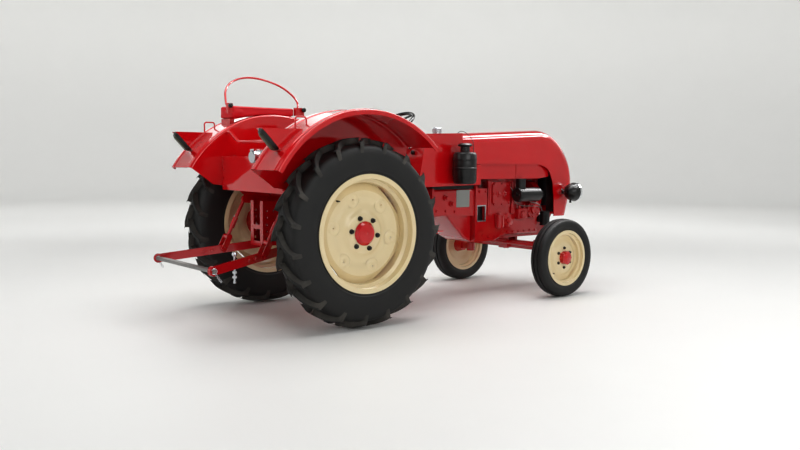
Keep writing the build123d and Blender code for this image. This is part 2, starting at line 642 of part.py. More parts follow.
TAIL_LAMP_TIP = (-713, 1262)
PAD_UNDER = ((-342, 1362), (-120, 1396))
WALL_FOOT = [(-643, 985), (-510, 900), (-340, 877), (-245, 800), (300, 800), (560, 900), (555, 1165)]
for side, sign in SIDES:
    wall = sorted((sign * FENDER_INNER_Y, sign * (FENDER_INNER_Y + FENDER_SHEET)))
    with BuildPart() as fender:
        add(fender_shell(sign))
        with BuildSketch(Plane.XZ.offset(-wall[1])):
            with BuildLine():
                crown = ThreePointArc(arc_point(WALL_TOP_R, FENDER_START), arc_point(WALL_TOP_R, 97),
                                      arc_point(WALL_TOP_R, FENDER_END))
                foot = [(fore(x), z) for x, z in WALL_FOOT]
                Polyline(crown @ 1, *foot[1:-1], crown @ 0)
            make_face()
        extrude(amount=FENDER_SHEET)
        handle_y = sign * 615
        tube_path([(fore(-476), handle_y, TAIL_LAMP_TIP[1]), (fore(-476), handle_y, 1336),
                   (fore(-397), handle_y, 1336), (fore(-397), handle_y, 1270)], 18, 5)
        if side == "left":
            (rear_x, rear_z), (front_x, front_z) = PAD_UNDER
            rise = (front_z - rear_z) / (front_x - rear_x)
            rear_top, front_top = rear_z + 7 * rise, rear_z + 42 * rise
            side_plate([(-335, rear_top), (-300, front_top), (-300, 1330), (-335, 1315)], 500, 630)
    fender.part.label = f"fender_{side}"
    export_step(fender.part, f"parts/fender_{side}.step")

with BuildPart() as rear_deck:
    edge = FENDER_INNER_Y
    block((-436, -430), (-edge, edge), (860, 1095))
    block((-430, 60), (-edge, edge), (1089, 1095))
    for side, sign in SIDES:
        block((-436, -300), (sign * (edge - 6), sign * edge), (860, 1095))
    tube_path([(fore(-400), -edge, 1262), (fore(-400), -360, 1262), (fore(-424), -200, 1192),
               (fore(-424), 200, 1192), (fore(-400), 360, 1262), (fore(-400), edge, 1262)], 60, 11)
rear_deck.part.label = "rear_deck"
export_step(rear_deck.part, "parts/rear_deck.step")

with BuildPart() as footplates:
    for side, sign in SIDES:
        block((300, 900), (sign * 150, sign * FENDER_INNER_Y), (560, 566))
footplates.part.label = "footplates"
export_step(footplates.part, "parts/footplates.step")

SEAT_SPAN = ((20, 420), (-220, 220), (1130, 1340))
SEAT_SHEET = 6
with BuildPart() as driver_seat:
    block(*SEAT_SPAN)
    fillet(driver_seat.edges().filter_by(Axis.Z), 110)
    fillet(driver_seat.edges().group_by(Axis.Z)[0], 60)
    offset(amount=-SEAT_SHEET, openings=driver_seat.faces().sort_by(Axis.Z)[-1])
    side_plate([(90, 1400), (160, 1230), (230, 1186), (430, 1168), (430, 1400)], -240, 240, Mode.SUBTRACT)
driver_seat.part.label = "driver_seat"
export_step(driver_seat.part, "parts/driver_seat.step")

with BuildPart() as seat_support:
    side_plate([(60, 1095), (100, 1130), (340, 1130), (420, 790), (380, 790), (300, 1095)], -30, 30)
seat_support.part.label = "seat_support"
export_step(seat_support.part, "parts/seat_support.step")

with BuildPart() as passenger_pad:
    side_plate([(-342, 1450), (178, 1450), (178, 1392), (0, 1405), PAD_UNDER[1], PAD_UNDER[0]], 450, 650)
passenger_pad.part.label = "passenger_pad"
export_step(passenger_pad.part, "parts/passenger_pad.step")

with BuildPart() as pad_brackets:
    block((-378, -342), (440, 470), (1400, 1470))
    block((178, 252), (440, 470), (1400, 1460))
pad_brackets.part.label = "pad_brackets"
export_step(pad_brackets.part, "parts/pad_brackets.step")

# X, Y and Z of the bow's corners and how wide each one bends.
BOW_ROUTE = [(-362, 470, 1456, 0), (-362, 506, 1456, 22), (-318, 606, 1612, 60), (-98, 684, 1697, 260),
             (150, 640, 1645, 180), (256, 536, 1525, 60), (236, 506, 1446, 22), (236, 470, 1446, 0)]
with BuildPart() as seat_bow:
    bends = [bend for x, y, z, bend in BOW_ROUTE[1:-1]]
    tube_path([(fore(x), y, z) for x, y, z, bend in BOW_ROUTE], bends, 8)
seat_bow.part.label = "seat_bow"
export_step(seat_bow.part, "parts/seat_bow.step")

TAIL_LAMP_FOOT = 138.5
with BuildPart() as tail_lamps:
    for side, sign in SIDES:
        with BuildSketch(Plane.XZ.offset(-max(sign * 562, sign * 638))):
            with BuildLine():
                seat_r = FENDER_R + 0.05
                front = 180 - math.degrees(math.asin((TAIL_LAMP_TIP[1] - REAR_TYRE_R) / seat_r))
                rear = TAIL_LAMP_FOOT
                seat = ThreePointArc(arc_point(seat_r, front), arc_point(seat_r, (front + rear) / 2),
                                     arc_point(seat_r, rear))
                Polyline(seat @ 1, (fore(TAIL_LAMP_TIP[0]), TAIL_LAMP_TIP[1]), seat @ 0)
            make_face()
        extrude(amount=76)
tail_lamps.part.label = "tail_lamps"
export_step(tail_lamps.part, "parts/tail_lamps.step")


# Rear linkage and hitch

PTO_Z = 720
PTO_R = 17.45
with BuildPart() as pto_shaft:
    bar((-262, 0, PTO_Z), (-180, 0, PTO_Z), PTO_R)
pto_shaft.part.label = "pto_shaft"
export_step(pto_shaft.part, "parts/pto_shaft.step")

HITCH_HOLE_PITCH = 46
with BuildPart() as hitch_frame:
    for side, sign in SIDES:
        block((-400, -180), (sign * 70, sign * 82), (500, 800))
        block((-400, -392), (sign * 44, sign * 82), (500, 800))
    block((-400, -180), (-70, 70), (500, 530))
    block((-400, -180), (-70, 70), (610, 640))
    for level in range(550, 780, HITCH_HOLE_PITCH):
        cross_bar(-370, level, -90, 90, 9, Mode.SUBTRACT)
    bar((-340, 0, 500), (-340, 0, 640), 16, Mode.SUBTRACT)
hitch_frame.part.label = "hitch_frame"
export_step(hitch_frame.part, "parts/hitch_frame.step")


def link_plane(sign):
    """The upright plane that a lower link lies in: local X runs from the pivot to the rear end."""
    pivot = Vector(fore(LINK_PIVOT[0]), sign * LINK_PIVOT[1], LINK_PIVOT[2])
    end = Vector(fore(LINK_END[0]), sign * LINK_END[1], LINK_END[2])
    along = end - pivot
    return Plane(origin=pivot, x_dir=along, z_dir=along.cross(Vector(0, 0, 1))), along.length


LINK_EYE_R = 31
LINK_BALL_R = 20
with BuildPart() as lower_links:
    for side, sign in SIDES:
        plane, length = link_plane(sign)
        with BuildSketch(plane):
            with Locations((length / 2, 0)):
                SlotCenterToCenter(length, 56)
        extrude(amount=7, both=True)
        with BuildSketch(plane):
            with Locations((length, 0)):
                Circle(LINK_EYE_R)
        extrude(amount=12, both=True)
        with Locations((fore(LINK_END[0]), sign * LINK_END[1], LINK_END[2])):
            Sphere(LINK_BALL_R + PLAY, mode=Mode.SUBTRACT)
        cross_bar(*LIFT_ROD_FOOT, sign * 237, sign * 314, PIN_R)
        cross_bar(LINK_PIVOT[0], LINK_PIVOT[2], sign * 120, sign * 190, 12 + PLAY, Mode.SUBTRACT)
lower_links.part.label = "lower_links"
export_step(lower_links.part, "parts/lower_links.step")

with BuildPart() as crossbar:
    block((-940, -904), (-385, 385), (400, 420))
    cross_bar(LINK_END[0], LINK_END[2], -432, 432, 10)
    for side, sign in SIDES:
        with Locations((fore(LINK_END[0]), sign * LINK_END[1], LINK_END[2])):
            Sphere(LINK_BALL_R)
crossbar.part.label = "crossbar"
export_step(crossbar.part, "parts/crossbar.step")

with BuildPart() as lift_arms:
    cross_bar(*LIFT_SHAFT, -262, 262, LIFT_SHAFT_R)
    for side, sign in SIDES:
        strap(LIFT_SHAFT, LIFT_ARM_END, 56, min(sign * 246, sign * 262), max(sign * 246, sign * 262))
        cross_bar(*LIFT_ARM_END, sign * 262, sign * 290, PIN_R)
lift_arms.part.label = "lift_arms"
export_step(lift_arms.part, "parts/lift_arms.step")

ROD_SLOPE = (LIFT_ARM_END[0] - LIFT_ROD_FOOT[0], LIFT_ARM_END[1] - LIFT_ROD_FOOT[1])
ROD_SLEEVE = (0.42, 0.62)
ROD_FORK = tuple(foot + 0.24 * step for foot, step in zip(LIFT_ROD_FOOT, ROD_SLOPE))
with BuildPart() as lift_rods:
    for side, sign in SIDES:
        y = sign * LIFT_ROD_Y
        bar((LIFT_ARM_END[0], y, LIFT_ARM_END[1]), (ROD_FORK[0], y, ROD_FORK[1]), 12)
        sleeve = [foot + share * step
                  for share in ROD_SLEEVE for foot, step in zip(LIFT_ROD_FOOT, ROD_SLOPE)]
        bar((sleeve[0], y, sleeve[1]), (sleeve[2], y, sleeve[3]), 18)
        cross_bar(*LIFT_ARM_END, sign * 265, sign * 286, 20)
        cross_bar(*ROD_FORK, sign * LIFT_FORK_Y[0][0], sign * LIFT_FORK_Y[1][1], 18)
        for inner, outer in LIFT_FORK_Y:
            strap(LIFT_ROD_FOOT, ROD_FORK, 40, min(sign * inner, sign * outer), max(sign * inner, sign * outer))
        cross_bar(*LIFT_ARM_END, sign * 260, sign * 292, PIN_R + PLAY, Mode.SUBTRACT)
        cross_bar(*LIFT_ROD_FOOT, sign * 233, sign * 318, PIN_R + 6, Mode.SUBTRACT)
lift_rods.part.label = "lift_rods"
export_step(lift_rods.part, "parts/lift_rods.step")
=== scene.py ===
# %% [markdown]
# # A restored farm tractor in the studio
# The solids of this tractor were modelled in a CAD program and packed with their joints. Here each of
# them gets its finish, and the pieces that need more than a plain solid, such as the tyres and the
# padded seat, are modelled again with mesh operators and put in the solid's place.
#
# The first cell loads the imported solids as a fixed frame. Everything is in metres: X points forward,
# Y to the tractor's left, Z up, and the floor is at Z = 0.

# %% The frame
import bpy
import bmesh
import math
from mathutils import Matrix, Vector


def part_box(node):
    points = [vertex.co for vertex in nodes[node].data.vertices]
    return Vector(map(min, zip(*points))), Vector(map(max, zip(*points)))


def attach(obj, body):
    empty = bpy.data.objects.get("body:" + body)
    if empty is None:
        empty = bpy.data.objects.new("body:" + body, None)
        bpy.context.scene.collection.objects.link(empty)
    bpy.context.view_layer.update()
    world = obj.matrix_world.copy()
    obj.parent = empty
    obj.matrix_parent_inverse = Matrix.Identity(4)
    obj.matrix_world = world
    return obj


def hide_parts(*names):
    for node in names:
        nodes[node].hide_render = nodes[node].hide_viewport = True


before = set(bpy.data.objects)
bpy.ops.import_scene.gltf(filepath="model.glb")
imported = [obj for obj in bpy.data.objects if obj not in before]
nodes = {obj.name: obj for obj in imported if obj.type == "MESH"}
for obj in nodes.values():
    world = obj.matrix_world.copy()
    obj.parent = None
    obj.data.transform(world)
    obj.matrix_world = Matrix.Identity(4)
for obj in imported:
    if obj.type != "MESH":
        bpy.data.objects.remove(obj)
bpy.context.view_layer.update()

print("solids in the frame:", len(nodes))

# %% [markdown]
# ## Helpers for materials
# A colour is written as the hex code that a screen shows. Blender's shaders work in linear light, so one
# function turns the code into linear numbers. A second small function adds a shader node together with
# its settings and its links, so that each material below reads as a short list of steps.

# %% Colours and nodes
def linear(hex_code):
    """Turns an sRGB hex code into the linear colour that the shaders use."""
    channels = [int(hex_code[i:i + 2], 16) / 255 for i in (1, 3, 5)]
    return [c / 12.92 if c <= 0.04045 else ((c + 0.055) / 1.055) ** 2.4 for c in channels] + [1.0]


def add_node(tree, kind, inputs=None, **settings):
    """Adds a node: settings are its properties, inputs its values or another node's output socket."""
    node = tree.nodes.new(kind)
    for name, value in settings.items():
        setattr(node, name, value)
    for name, value in (inputs or {}).items():
        if isinstance(value, bpy.types.NodeSocket):
            tree.links.new(value, node.inputs[name])
        else:
            node.inputs[name].default_value = value
    return node


def new_material(name):
    """An empty material with its output node; returns the material, its tree and the output."""
    material = bpy.data.materials.new(name)
    material.use_nodes = True
    material.node_tree.nodes.clear()
    output = add_node(material.node_tree, "ShaderNodeOutputMaterial")
    return material, material.node_tree, output


# %% [markdown]
# ## Sprayed enamel on sheet steel
# The bonnet, the fenders and most other panels are pressed sheet, sprayed with a glossy synthetic enamel.
# Under a clean highlight such a coat shows a faint waviness, called orange peel, a few millimetres wide.
# The same recipe serves for each colour of enamel, so it is a function with the colour as its argument.
# Castings wear the same paint over a rough skin, so for them the bump is finer and stronger.

# %% Enamel paints
def enamel(name, hex_code, shade_hex, roughness, coat, grain_mm=4.0, grain_height_mm=0.012):
    """Glossy paint: the colour drifts a little towards a shade, and the skin has a fine grain."""
    material, tree, output = new_material(name)
    place = add_node(tree, "ShaderNodeTexCoord").outputs["Object"]
    drift = add_node(tree, "ShaderNodeTexNoise", {"Vector": place, "Scale": 2.2, "Detail": 3.0})
    spread = add_node(tree, "ShaderNodeMapRange", {
        "Value": drift.outputs["Fac"], "From Min": 0.35, "From Max": 0.7, "To Min": 0.0, "To Max": 0.55})
    paint = add_node(tree, "ShaderNodeMix", {
        "Factor": spread.outputs["Result"], "A": linear(hex_code), "B": linear(shade_hex)}, data_type="RGBA")
    grain = add_node(tree, "ShaderNodeTexNoise", {
        "Vector": place, "Scale": 1000 / grain_mm, "Detail": 2.0, "Roughness": 0.5})
    bump = add_node(tree, "ShaderNodeBump", {
        "Height": grain.outputs["Fac"], "Strength": 1.0, "Distance": grain_height_mm / 1000})
    gloss = add_node(tree, "ShaderNodeMapRange", {
        "Value": drift.outputs["Fac"], "To Min": roughness * 0.8, "To Max": roughness * 1.35})
    shader = add_node(tree, "ShaderNodeBsdfPrincipled", {
        "Base Color": paint.outputs["Result"], "Roughness": gloss.outputs["Result"], "IOR": 1.5,
        "Coat Weight": coat, "Coat Roughness": 0.05, "Normal": bump.outputs["Normal"]})
    tree.links.new(shader.outputs["BSDF"], output.inputs["Surface"])
    return material


red_enamel = enamel("red_sprayed_enamel", "#CE0D17", "#BB0A13", roughness=0.10, coat=0.7)
red_casting = enamel("red_painted_cast_iron", "#BE0E17", "#9A0911", roughness=0.17, coat=0.6, grain_mm=6.0,
                     grain_height_mm=0.25)
cream_enamel = enamel("cream_wheel_enamel", "#EBDAB3", "#E1CFA4", roughness=0.22, coat=0.4)
black_enamel = enamel("black_sprayed_enamel", "#0B0C0D", "#070808", roughness=0.3, coat=0.2)

# %% [markdown]
# ## Rubber
# A tyre is moulded from carbon-black rubber. It is dark grey rather than black, it hardly shines, and
# the ground has rubbed the lugs' flanks to a dusty grey. A worn edge could be found by a shader too, but the
# flanks are faces of their own, so they simply get a paler material.

# %% Rubber
def rubber(name, hex_code, dust_hex, roughness):
    """Moulded rubber with a dusty film in broad patches and a fine mould grain."""
    material, tree, output = new_material(name)
    place = add_node(tree, "ShaderNodeTexCoord").outputs["Object"]
    patches = add_node(tree, "ShaderNodeTexNoise", {"Vector": place, "Scale": 9.0, "Detail": 5.0})
    film = add_node(tree, "ShaderNodeMapRange", {
        "Value": patches.outputs["Fac"], "From Min": 0.42, "From Max": 0.72, "To Min": 0.0, "To Max": 0.6})
    tone = add_node(tree, "ShaderNodeMix", {
        "Factor": film.outputs["Result"], "A": linear(hex_code), "B": linear(dust_hex)}, data_type="RGBA")
    grain = add_node(tree, "ShaderNodeTexNoise", {"Vector": place, "Scale": 420.0, "Detail": 3.0})
    bump = add_node(tree, "ShaderNodeBump", {
        "Height": grain.outputs["Fac"], "Strength": 1.0, "Distance": 0.0002})
    shader = add_node(tree, "ShaderNodeBsdfPrincipled", {
        "Base Color": tone.outputs["Result"], "Roughness": roughness, "IOR": 1.52,
        "Normal": bump.outputs["Normal"]})
    tree.links.new(shader.outputs["BSDF"], output.inputs["Surface"])
    return material


tyre_rubber = rubber("moulded_tyre_rubber", "#131313", "#1E1D1B", 0.58)
worn_rubber = rubber("scuffed_lug_rubber", "#3A3835", "#5E5A54", 0.8)

# %% [markdown]
# ## Bare metal
# The drawbar and the shaft end are bare turned or rolled steel, and the bolts are zinc plated. A metal keeps
# Blender's default index of refraction; its colour and its roughness do the work. Drawn streaks a third of a
# millimetre wide would be too fine to show at this distance, so they are drawn two millimetres wide.

# %% Metals
def metal(name, hex_code, roughness, streak_mm=2.0, streak=0.0):
    """Bare metal with a slightly uneven polish; streak stretches the unevenness along X."""
    material, tree, output = new_material(name)
    place = add_node(tree, "ShaderNodeTexCoord").outputs["Object"]
    stretch = add_node(tree, "ShaderNodeMapping", {
        "Vector": place, "Scale": (1.0 - 0.95 * streak, 1.0, 1.0)})
    uneven = add_node(tree, "ShaderNodeTexNoise", {
        "Vector": stretch.outputs["Vector"], "Scale": 1000 / streak_mm, "Detail": 2.0})
    polish = add_node(tree, "ShaderNodeMapRange", {
        "Value": uneven.outputs["Fac"], "To Min": roughness * 0.7, "To Max": roughness * 1.4})
    bump = add_node(tree, "ShaderNodeBump", {
        "Height": uneven.outputs["Fac"], "Strength": 0.4, "Distance": 0.0001})
    shader = add_node(tree, "ShaderNodeBsdfPrincipled", {
        "Base Color": linear(hex_code), "Metallic": 1.0, "Roughness": polish.outputs["Result"],
        "Normal": bump.outputs["Normal"]})
    tree.links.new(shader.outputs["BSDF"], output.inputs["Surface"])
    return material


rolled_steel = metal("rolled_mild_steel", "#8C8B89", 0.38, streak=1.0)
zinc_plate = metal("bright_zinc_plate", "#C9CCD0", 0.24)
chrome = metal("polished_chrome", "#D8DADC", 0.08)

# %% [markdown]
# ## Plastics, glass and vinyl
# The steering wheel is black phenolic plastic, polished by hands. Lamp lenses are pressed glass. The
# passenger's pad is covered with red vinyl, a cloth coated with soft plastic and embossed with a leather
# grain. All of them are one colour with a fine grain, so one recipe with different numbers does for each.

# %% Plastic, glass and vinyl
def plain_finish(name, hex_code, roughness, grain_mm=1.2, grain_height_mm=0.02, **shader_values):
    """A smooth moulded finish with a very fine grain."""
    material, tree, output = new_material(name)
    place = add_node(tree, "ShaderNodeTexCoord").outputs["Object"]
    grain = add_node(tree, "ShaderNodeTexNoise", {"Vector": place, "Scale": 1000 / grain_mm, "Detail": 2.0})
    bump = add_node(tree, "ShaderNodeBump", {
        "Height": grain.outputs["Fac"], "Strength": 1.0, "Distance": grain_height_mm / 1000})
    values = {"Base Color": linear(hex_code), "Roughness": roughness, "Normal": bump.outputs["Normal"]}
    values.update(shader_values)
    shader = add_node(tree, "ShaderNodeBsdfPrincipled", values)
    tree.links.new(shader.outputs["BSDF"], output.inputs["Surface"])
    return material


wheel_plastic = plain_finish("black_phenolic_plastic", "#0E0E0F", 0.22, **{"IOR": 1.55})
lamp_glass = plain_finish("pressed_lamp_glass", "#3B3A22", 0.28, grain_mm=6.0, grain_height_mm=0.4,
                          **{"IOR": 1.5})
fluted_glass = plain_finish("fluted_headlamp_glass", "#B9BDB8", 0.1, grain_mm=5.0, grain_height_mm=0.5,
                            **{"IOR": 1.52, "Metallic": 0.35, "Coat Weight": 0.8})
pad_vinyl = plain_finish("embossed_red_vinyl", "#D20820", 0.5, grain_mm=2.0, grain_height_mm=0.12,
                         **{"IOR": 1.42})
blank_plate = plain_finish("blank_aluminium_plate", "#9C9D9A", 0.4, **{"Metallic": 0.8})
print("materials made:", len(bpy.data.materials))

# %% [markdown]
# ## Smooth curves on the solids
# The solids come in as loose triangles, so each would shine like a cut gem. A small Geometry Nodes modifier
# joins the triangles and shades them smoothly, and keeps every edge sharp that turns by more than 32 degrees.
# A modifier leaves the solid's own mesh as it was packed.

# %% Shading modifier
SHARP_ANGLE = math.radians(32)


def shading_group():
    """Joins loose triangles, shades them smooth and keeps the sharp edges sharp."""
    tree = bpy.data.node_groups.new("smooth_curves_sharp_edges", "GeometryNodeTree")
    tree.interface.new_socket(name="Geometry", in_out="INPUT", socket_type="NodeSocketGeometry")
    tree.interface.new_socket(name="Geometry", in_out="OUTPUT", socket_type="NodeSocketGeometry")
    entry = add_node(tree, "NodeGroupInput")
    joined = add_node(tree, "GeometryNodeMergeByDistance", {
        "Geometry": entry.outputs["Geometry"], "Distance": 0.00002})
    smooth = add_node(tree, "GeometryNodeSetShadeSmooth", {
        "Geometry": joined.outputs["Geometry"], "Shade Smooth": True}, domain="FACE")
    turn = add_node(tree, "GeometryNodeInputMeshEdgeAngle")
    flat_enough = add_node(tree, "FunctionNodeCompare", {
        "A": turn.outputs["Unsigned Angle"], "B": SHARP_ANGLE}, data_type="FLOAT", operation="LESS_EQUAL")
    edges = add_node(tree, "GeometryNodeSetShadeSmooth", {
        "Geometry": smooth.outputs["Geometry"], "Shade Smooth": flat_enough.outputs["Result"]}, domain="EDGE")
    add_node(tree, "NodeGroupOutput", {"Geometry": edges.outputs["Geometry"]})
    return tree


smooth_solids = shading_group()


def shade(obj):
    """Puts the shading modifier on an object."""
    obj.modifiers.new("shading", "NODES").node_group = smooth_solids


# %% [markdown]
# ## Finishes for the solids
# One table says which finish each solid wears. Each solid could get its material where its fittings are
# made, but in one table it shows at a glance whether a solid was forgotten, and the last line prints any
# that was.

# %% Which solid wears which finish
FINISHES = [
    (red_enamel, ("hood", "grille", "cowl", "fender_left", "fender_right", "rear_deck", "footplates",
                  "driver_seat", "seat_bow", "pad_brackets", "tail_lamps", "cooling_shroud", "seat_support",
                  "rear_hub_left", "rear_hub_right", "front_hub_left", "front_hub_right")),
    (red_casting, ("gearbox", "rear_axle", "engine_block", "front_support", "front_axle", "knuckle_left",
                   "knuckle_right", "tie_rod", "steering_box", "pitman_arm", "drag_link", "hitch_frame",
                   "lower_links", "lift_arms", "lift_rods", "blower", "pedals")),
    (cream_enamel, ("rear_wheel_left", "rear_wheel_right", "front_wheel_left", "front_wheel_right")),
    (tyre_rubber, ("rear_tyre_left", "rear_tyre_right", "front_tyre_left", "front_tyre_right")),
    (black_enamel, ("generator", "air_cleaner", "exhaust", "headlamps", "gear_lever", "steering_column")),
    (wheel_plastic, ("steering_wheel",)),
    (rolled_steel, ("crossbar", "pto_shaft")),
    (zinc_plate, ("fuel_cap",)),
    (pad_vinyl, ("passenger_pad",)),
]
for material, names in FINISHES:
    for name in names:
        solid = nodes[name]
        if not solid.material_slots:
            solid.data.materials.append(material)
        for slot in solid.material_slots:
            slot.material = material
        shade(solid)
bare = sorted(set(nodes) - {name for _, names in FINISHES for name in names})
print("solids without a finish:", bare)

# %% [markdown]
# ## Places
# The measures of this tractor are taken from its rear axle, as a mechanic would take them, so a helper turns
# a distance ahead of that axle into a point of the frame. The wheels' centres come from the solids' own
# boxes. Typed numbers would do too, but they would be wrong as soon as the solids change.

# %% Directions and places
FORE, AFT, LEFT, RIGHT, UP = (1, 0, 0), (-1, 0, 0), (0, 1, 0), (0, -1, 0), (0, 0, 1)
SIDES = (("left", 1), ("right", -1))


def middle(node):
    """The centre of a solid's box at rest."""
    low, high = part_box(node)
    return (Vector(low) + Vector(high)) / 2


rear_wheels = {side: middle(f"rear_wheel_{side}") for side, _ in SIDES}
front_wheels = {side: middle(f"front_wheel_{side}") for side, _ in SIDES}
REAR_AXLE_X = rear_wheels["left"].x
print("wheelbase:", round(front_wheels["left"].x - REAR_AXLE_X, 3))


def at(distance, y, z):
    """A point this far ahead of the rear axle, this far to the left and this high."""
    return Vector((REAR_AXLE_X + distance, y, z))


# %% [markdown]
# ## Blocks and turned forms
# Most machine parts are boxes, turned forms, bent tubes and bolts, so a few helpers make almost everything
# below. The first makes a box, and the second pushes faces out. The third spins a profile round an axis, as
# a lathe would. Blender's own cylinders and cones would do for plain forms, but a profile can have steps.

# %% Blocks and turned forms
def block(bm, centre, size):
    """A plain box with a centre and three sizes."""
    bmesh.ops.create_cube(bm, size=1.0, matrix=Matrix.Translation(centre) @ Matrix.Diagonal((*size, 1)))


def push_out(bm, faces, step):
    """Extrudes faces and moves the far side by a step."""
    pushed = bmesh.ops.extrude_face_region(bm, geom=faces)
    far_side = [item for item in pushed["geom"] if isinstance(item, bmesh.types.BMVert)]
    bmesh.ops.translate(bm, verts=far_side, vec=step)


def turned(bm, profile, centre, axis, steps, closed=False):
    """Spins a profile of (distance along the axis, distance from it) into a turned form."""
    along = Vector(axis).normalized()
    aside = along.orthogonal().normalized()
    verts = [bm.verts.new(Vector(centre) + along * reach + aside * radius) for reach, radius in profile]
    pairs = list(zip(verts, verts[1:]))
    if closed:
        pairs.append((verts[-1], verts[0]))
    edges = [bm.edges.new(pair) for pair in pairs]
    bmesh.ops.spin(bm, geom=verts + edges, cent=centre, axis=along, angle=math.tau, steps=steps,
                   use_merge=True)


# %% [markdown]
# ## Bolts
# A bolt is a hexagon head on a round washer, and a nut shows the end of its thread as well. Each is a stack
# of short prisms and cones on a face, so one helper makes a single layer and the next one a whole bolt. Two
# more set bolts in a circle or in a row, which is how they sit on covers and flanges.

# %% Bolts
def stack(bm, place, facing, low, high, radius_low, radius_high, segments):
    """A cone or prism that stands on a face: low and high are its heights over the face."""
    upright = Vector(facing).to_track_quat("Z", "Y").to_matrix().to_4x4()
    standing = Matrix.Translation(place) @ upright @ Matrix.Translation((0, 0, (low + high) / 2))
    bmesh.ops.create_cone(bm, cap_ends=True, segments=segments, radius1=radius_low, radius2=radius_high,
                          depth=high - low, matrix=standing)


def bolt(bm, place, facing, across=0.019, stud=0.0):
    """A hexagon head on its washer; with a stud it is a nut with the thread's end standing out."""
    head = 0.62 * across
    corner = across / math.sqrt(3)
    stack(bm, place, facing, -0.001, 0.0022, 0.62 * across, 0.62 * across, 20)
    stack(bm, place, facing, 0.002, 0.8 * head, corner, corner, 6)
    stack(bm, place, facing, 0.8 * head, head, corner, 0.86 * corner, 6)
    if stud:
        stack(bm, place, facing, head, head + stud, 0.28 * across, 0.22 * across, 12)


def bolt_circle(bm, centre, axis, radius, count, across, start=0.0, stud=0.0):
    """Bolts spread evenly on a circle round an axis; start is the first one's angle in degrees."""
    along = Vector(axis).normalized()
    first = Vector(FORE) if abs(along.x) < 0.9 else Vector(LEFT)
    for index in range(count):
        turn = Matrix.Rotation(math.radians(start) + math.tau * index / count, 3, along)
        bolt(bm, Vector(centre) + turn @ first * radius, along, across, stud)


def bolt_row(bm, start, end, count, facing, across):
    """Bolts spread evenly along a straight line."""
    for index in range(count):
        bolt(bm, Vector(start).lerp(Vector(end), index / (count - 1)), facing, across)


# %% [markdown]
# ## Tubes
# A bent tube is a curve with a round section. The curve's line is made by cutting the corners of a few points
# again and again, until it is smooth. Bezier handles would give the same bend, but each would be two more
# points to choose. The tube is turned into a mesh at once, so that it can join others in one piece.

# %% Smooth lines and tubes
def smooth_line(points, rounds=2):
    """Cuts every corner of an open line at a quarter of its runs, again and again."""
    points = [Vector(point) for point in points]
    for _ in range(rounds):
        inner = [a.lerp(b, share) for a, b in zip(points, points[1:]) for share in (0.25, 0.75)]
        points = [points[0], *inner, points[-1]]
    return points


def add_tube(bm, points, radius, rounds=2, cyclic=False):
    """Adds a round tube along a line whose corners are cut smooth."""
    line = bpy.data.curves.new("tube_line", "CURVE")
    line.dimensions = "3D"
    line.bevel_depth = radius
    line.bevel_resolution = 3
    line.use_fill_caps = True
    path = smooth_line(points, rounds)
    spline = line.splines.new("POLY")
    spline.points.add(len(path) - 1)
    for point, place in zip(spline.points, path):
        point.co = (*place, 1.0)
    spline.use_cyclic_u = cyclic
    guide = bpy.data.objects.new("tube_guide", line)
    mesh = bpy.data.meshes.new_from_object(guide)
    bpy.data.objects.remove(guide)
    bm.from_mesh(mesh)
    bpy.data.meshes.remove(mesh)


# %% [markdown]
# ## Pieces that ride a body
# A finished mesh becomes an object that moves with one of the tractor's bodies and takes its finish from a
# named slot. Parenting by hand would do the same, but it would have to be done for each piece. Where a piece
# stands in for a plain solid, that solid is hidden. The helper prints how many faces each piece has.

# %% From mesh to piece
def new_piece(name, bm, materials, body, stands_for=()):
    """Turns the finished mesh into an object that rides a body and takes its finish from a slot."""
    bmesh.ops.remove_doubles(bm, verts=bm.verts, dist=0.00001)
    bmesh.ops.recalc_face_normals(bm, faces=bm.faces)
    mesh = bpy.data.meshes.new(name)
    bm.to_mesh(mesh)
    bm.free()
    for material in materials:
        mesh.materials.append(material)
    piece = bpy.data.objects.new(name, mesh)
    bpy.context.scene.collection.objects.link(piece)
    shade(piece)
    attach(piece, body)
    if stands_for:
        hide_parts(*stands_for)
    print(name, len(mesh.polygons), "faces")
    return piece


# %% [markdown]
# ## A lug of the rear tyres
# The lugs of a field tyre run outward from the middle like a chevron. One lug is drawn flat as an outline,
# raised with slanted flanks by an inset, and its rim is rounded. It is then cut into narrow strips so that it
# can bend: X becomes the angle round the axle and Z the distance from it. A lug could be modelled on the
# round carcass at once, but a flat outline is easier to read and to change. The flanks are the scuffed faces.

# %% One lug
LUG_HEIGHT = 0.062
LUG_SLANT = 0.008
CROWN_R = 0.6096
CROWN_DROP = 0.030
SHOULDER = 0.119
LUG_FOOT_R, LUG_FOOT_DROP = 0.556, 0.040
STRIP_AROUND, STRIP_ACROSS = 0.011, 0.015
LUG_OUTLINE = [(-0.096, -0.014), (-0.024, 0.006), (0.040, 0.052), (0.096, 0.119), (0.054, 0.119),
               (0.008, 0.070), (-0.044, 0.028)]


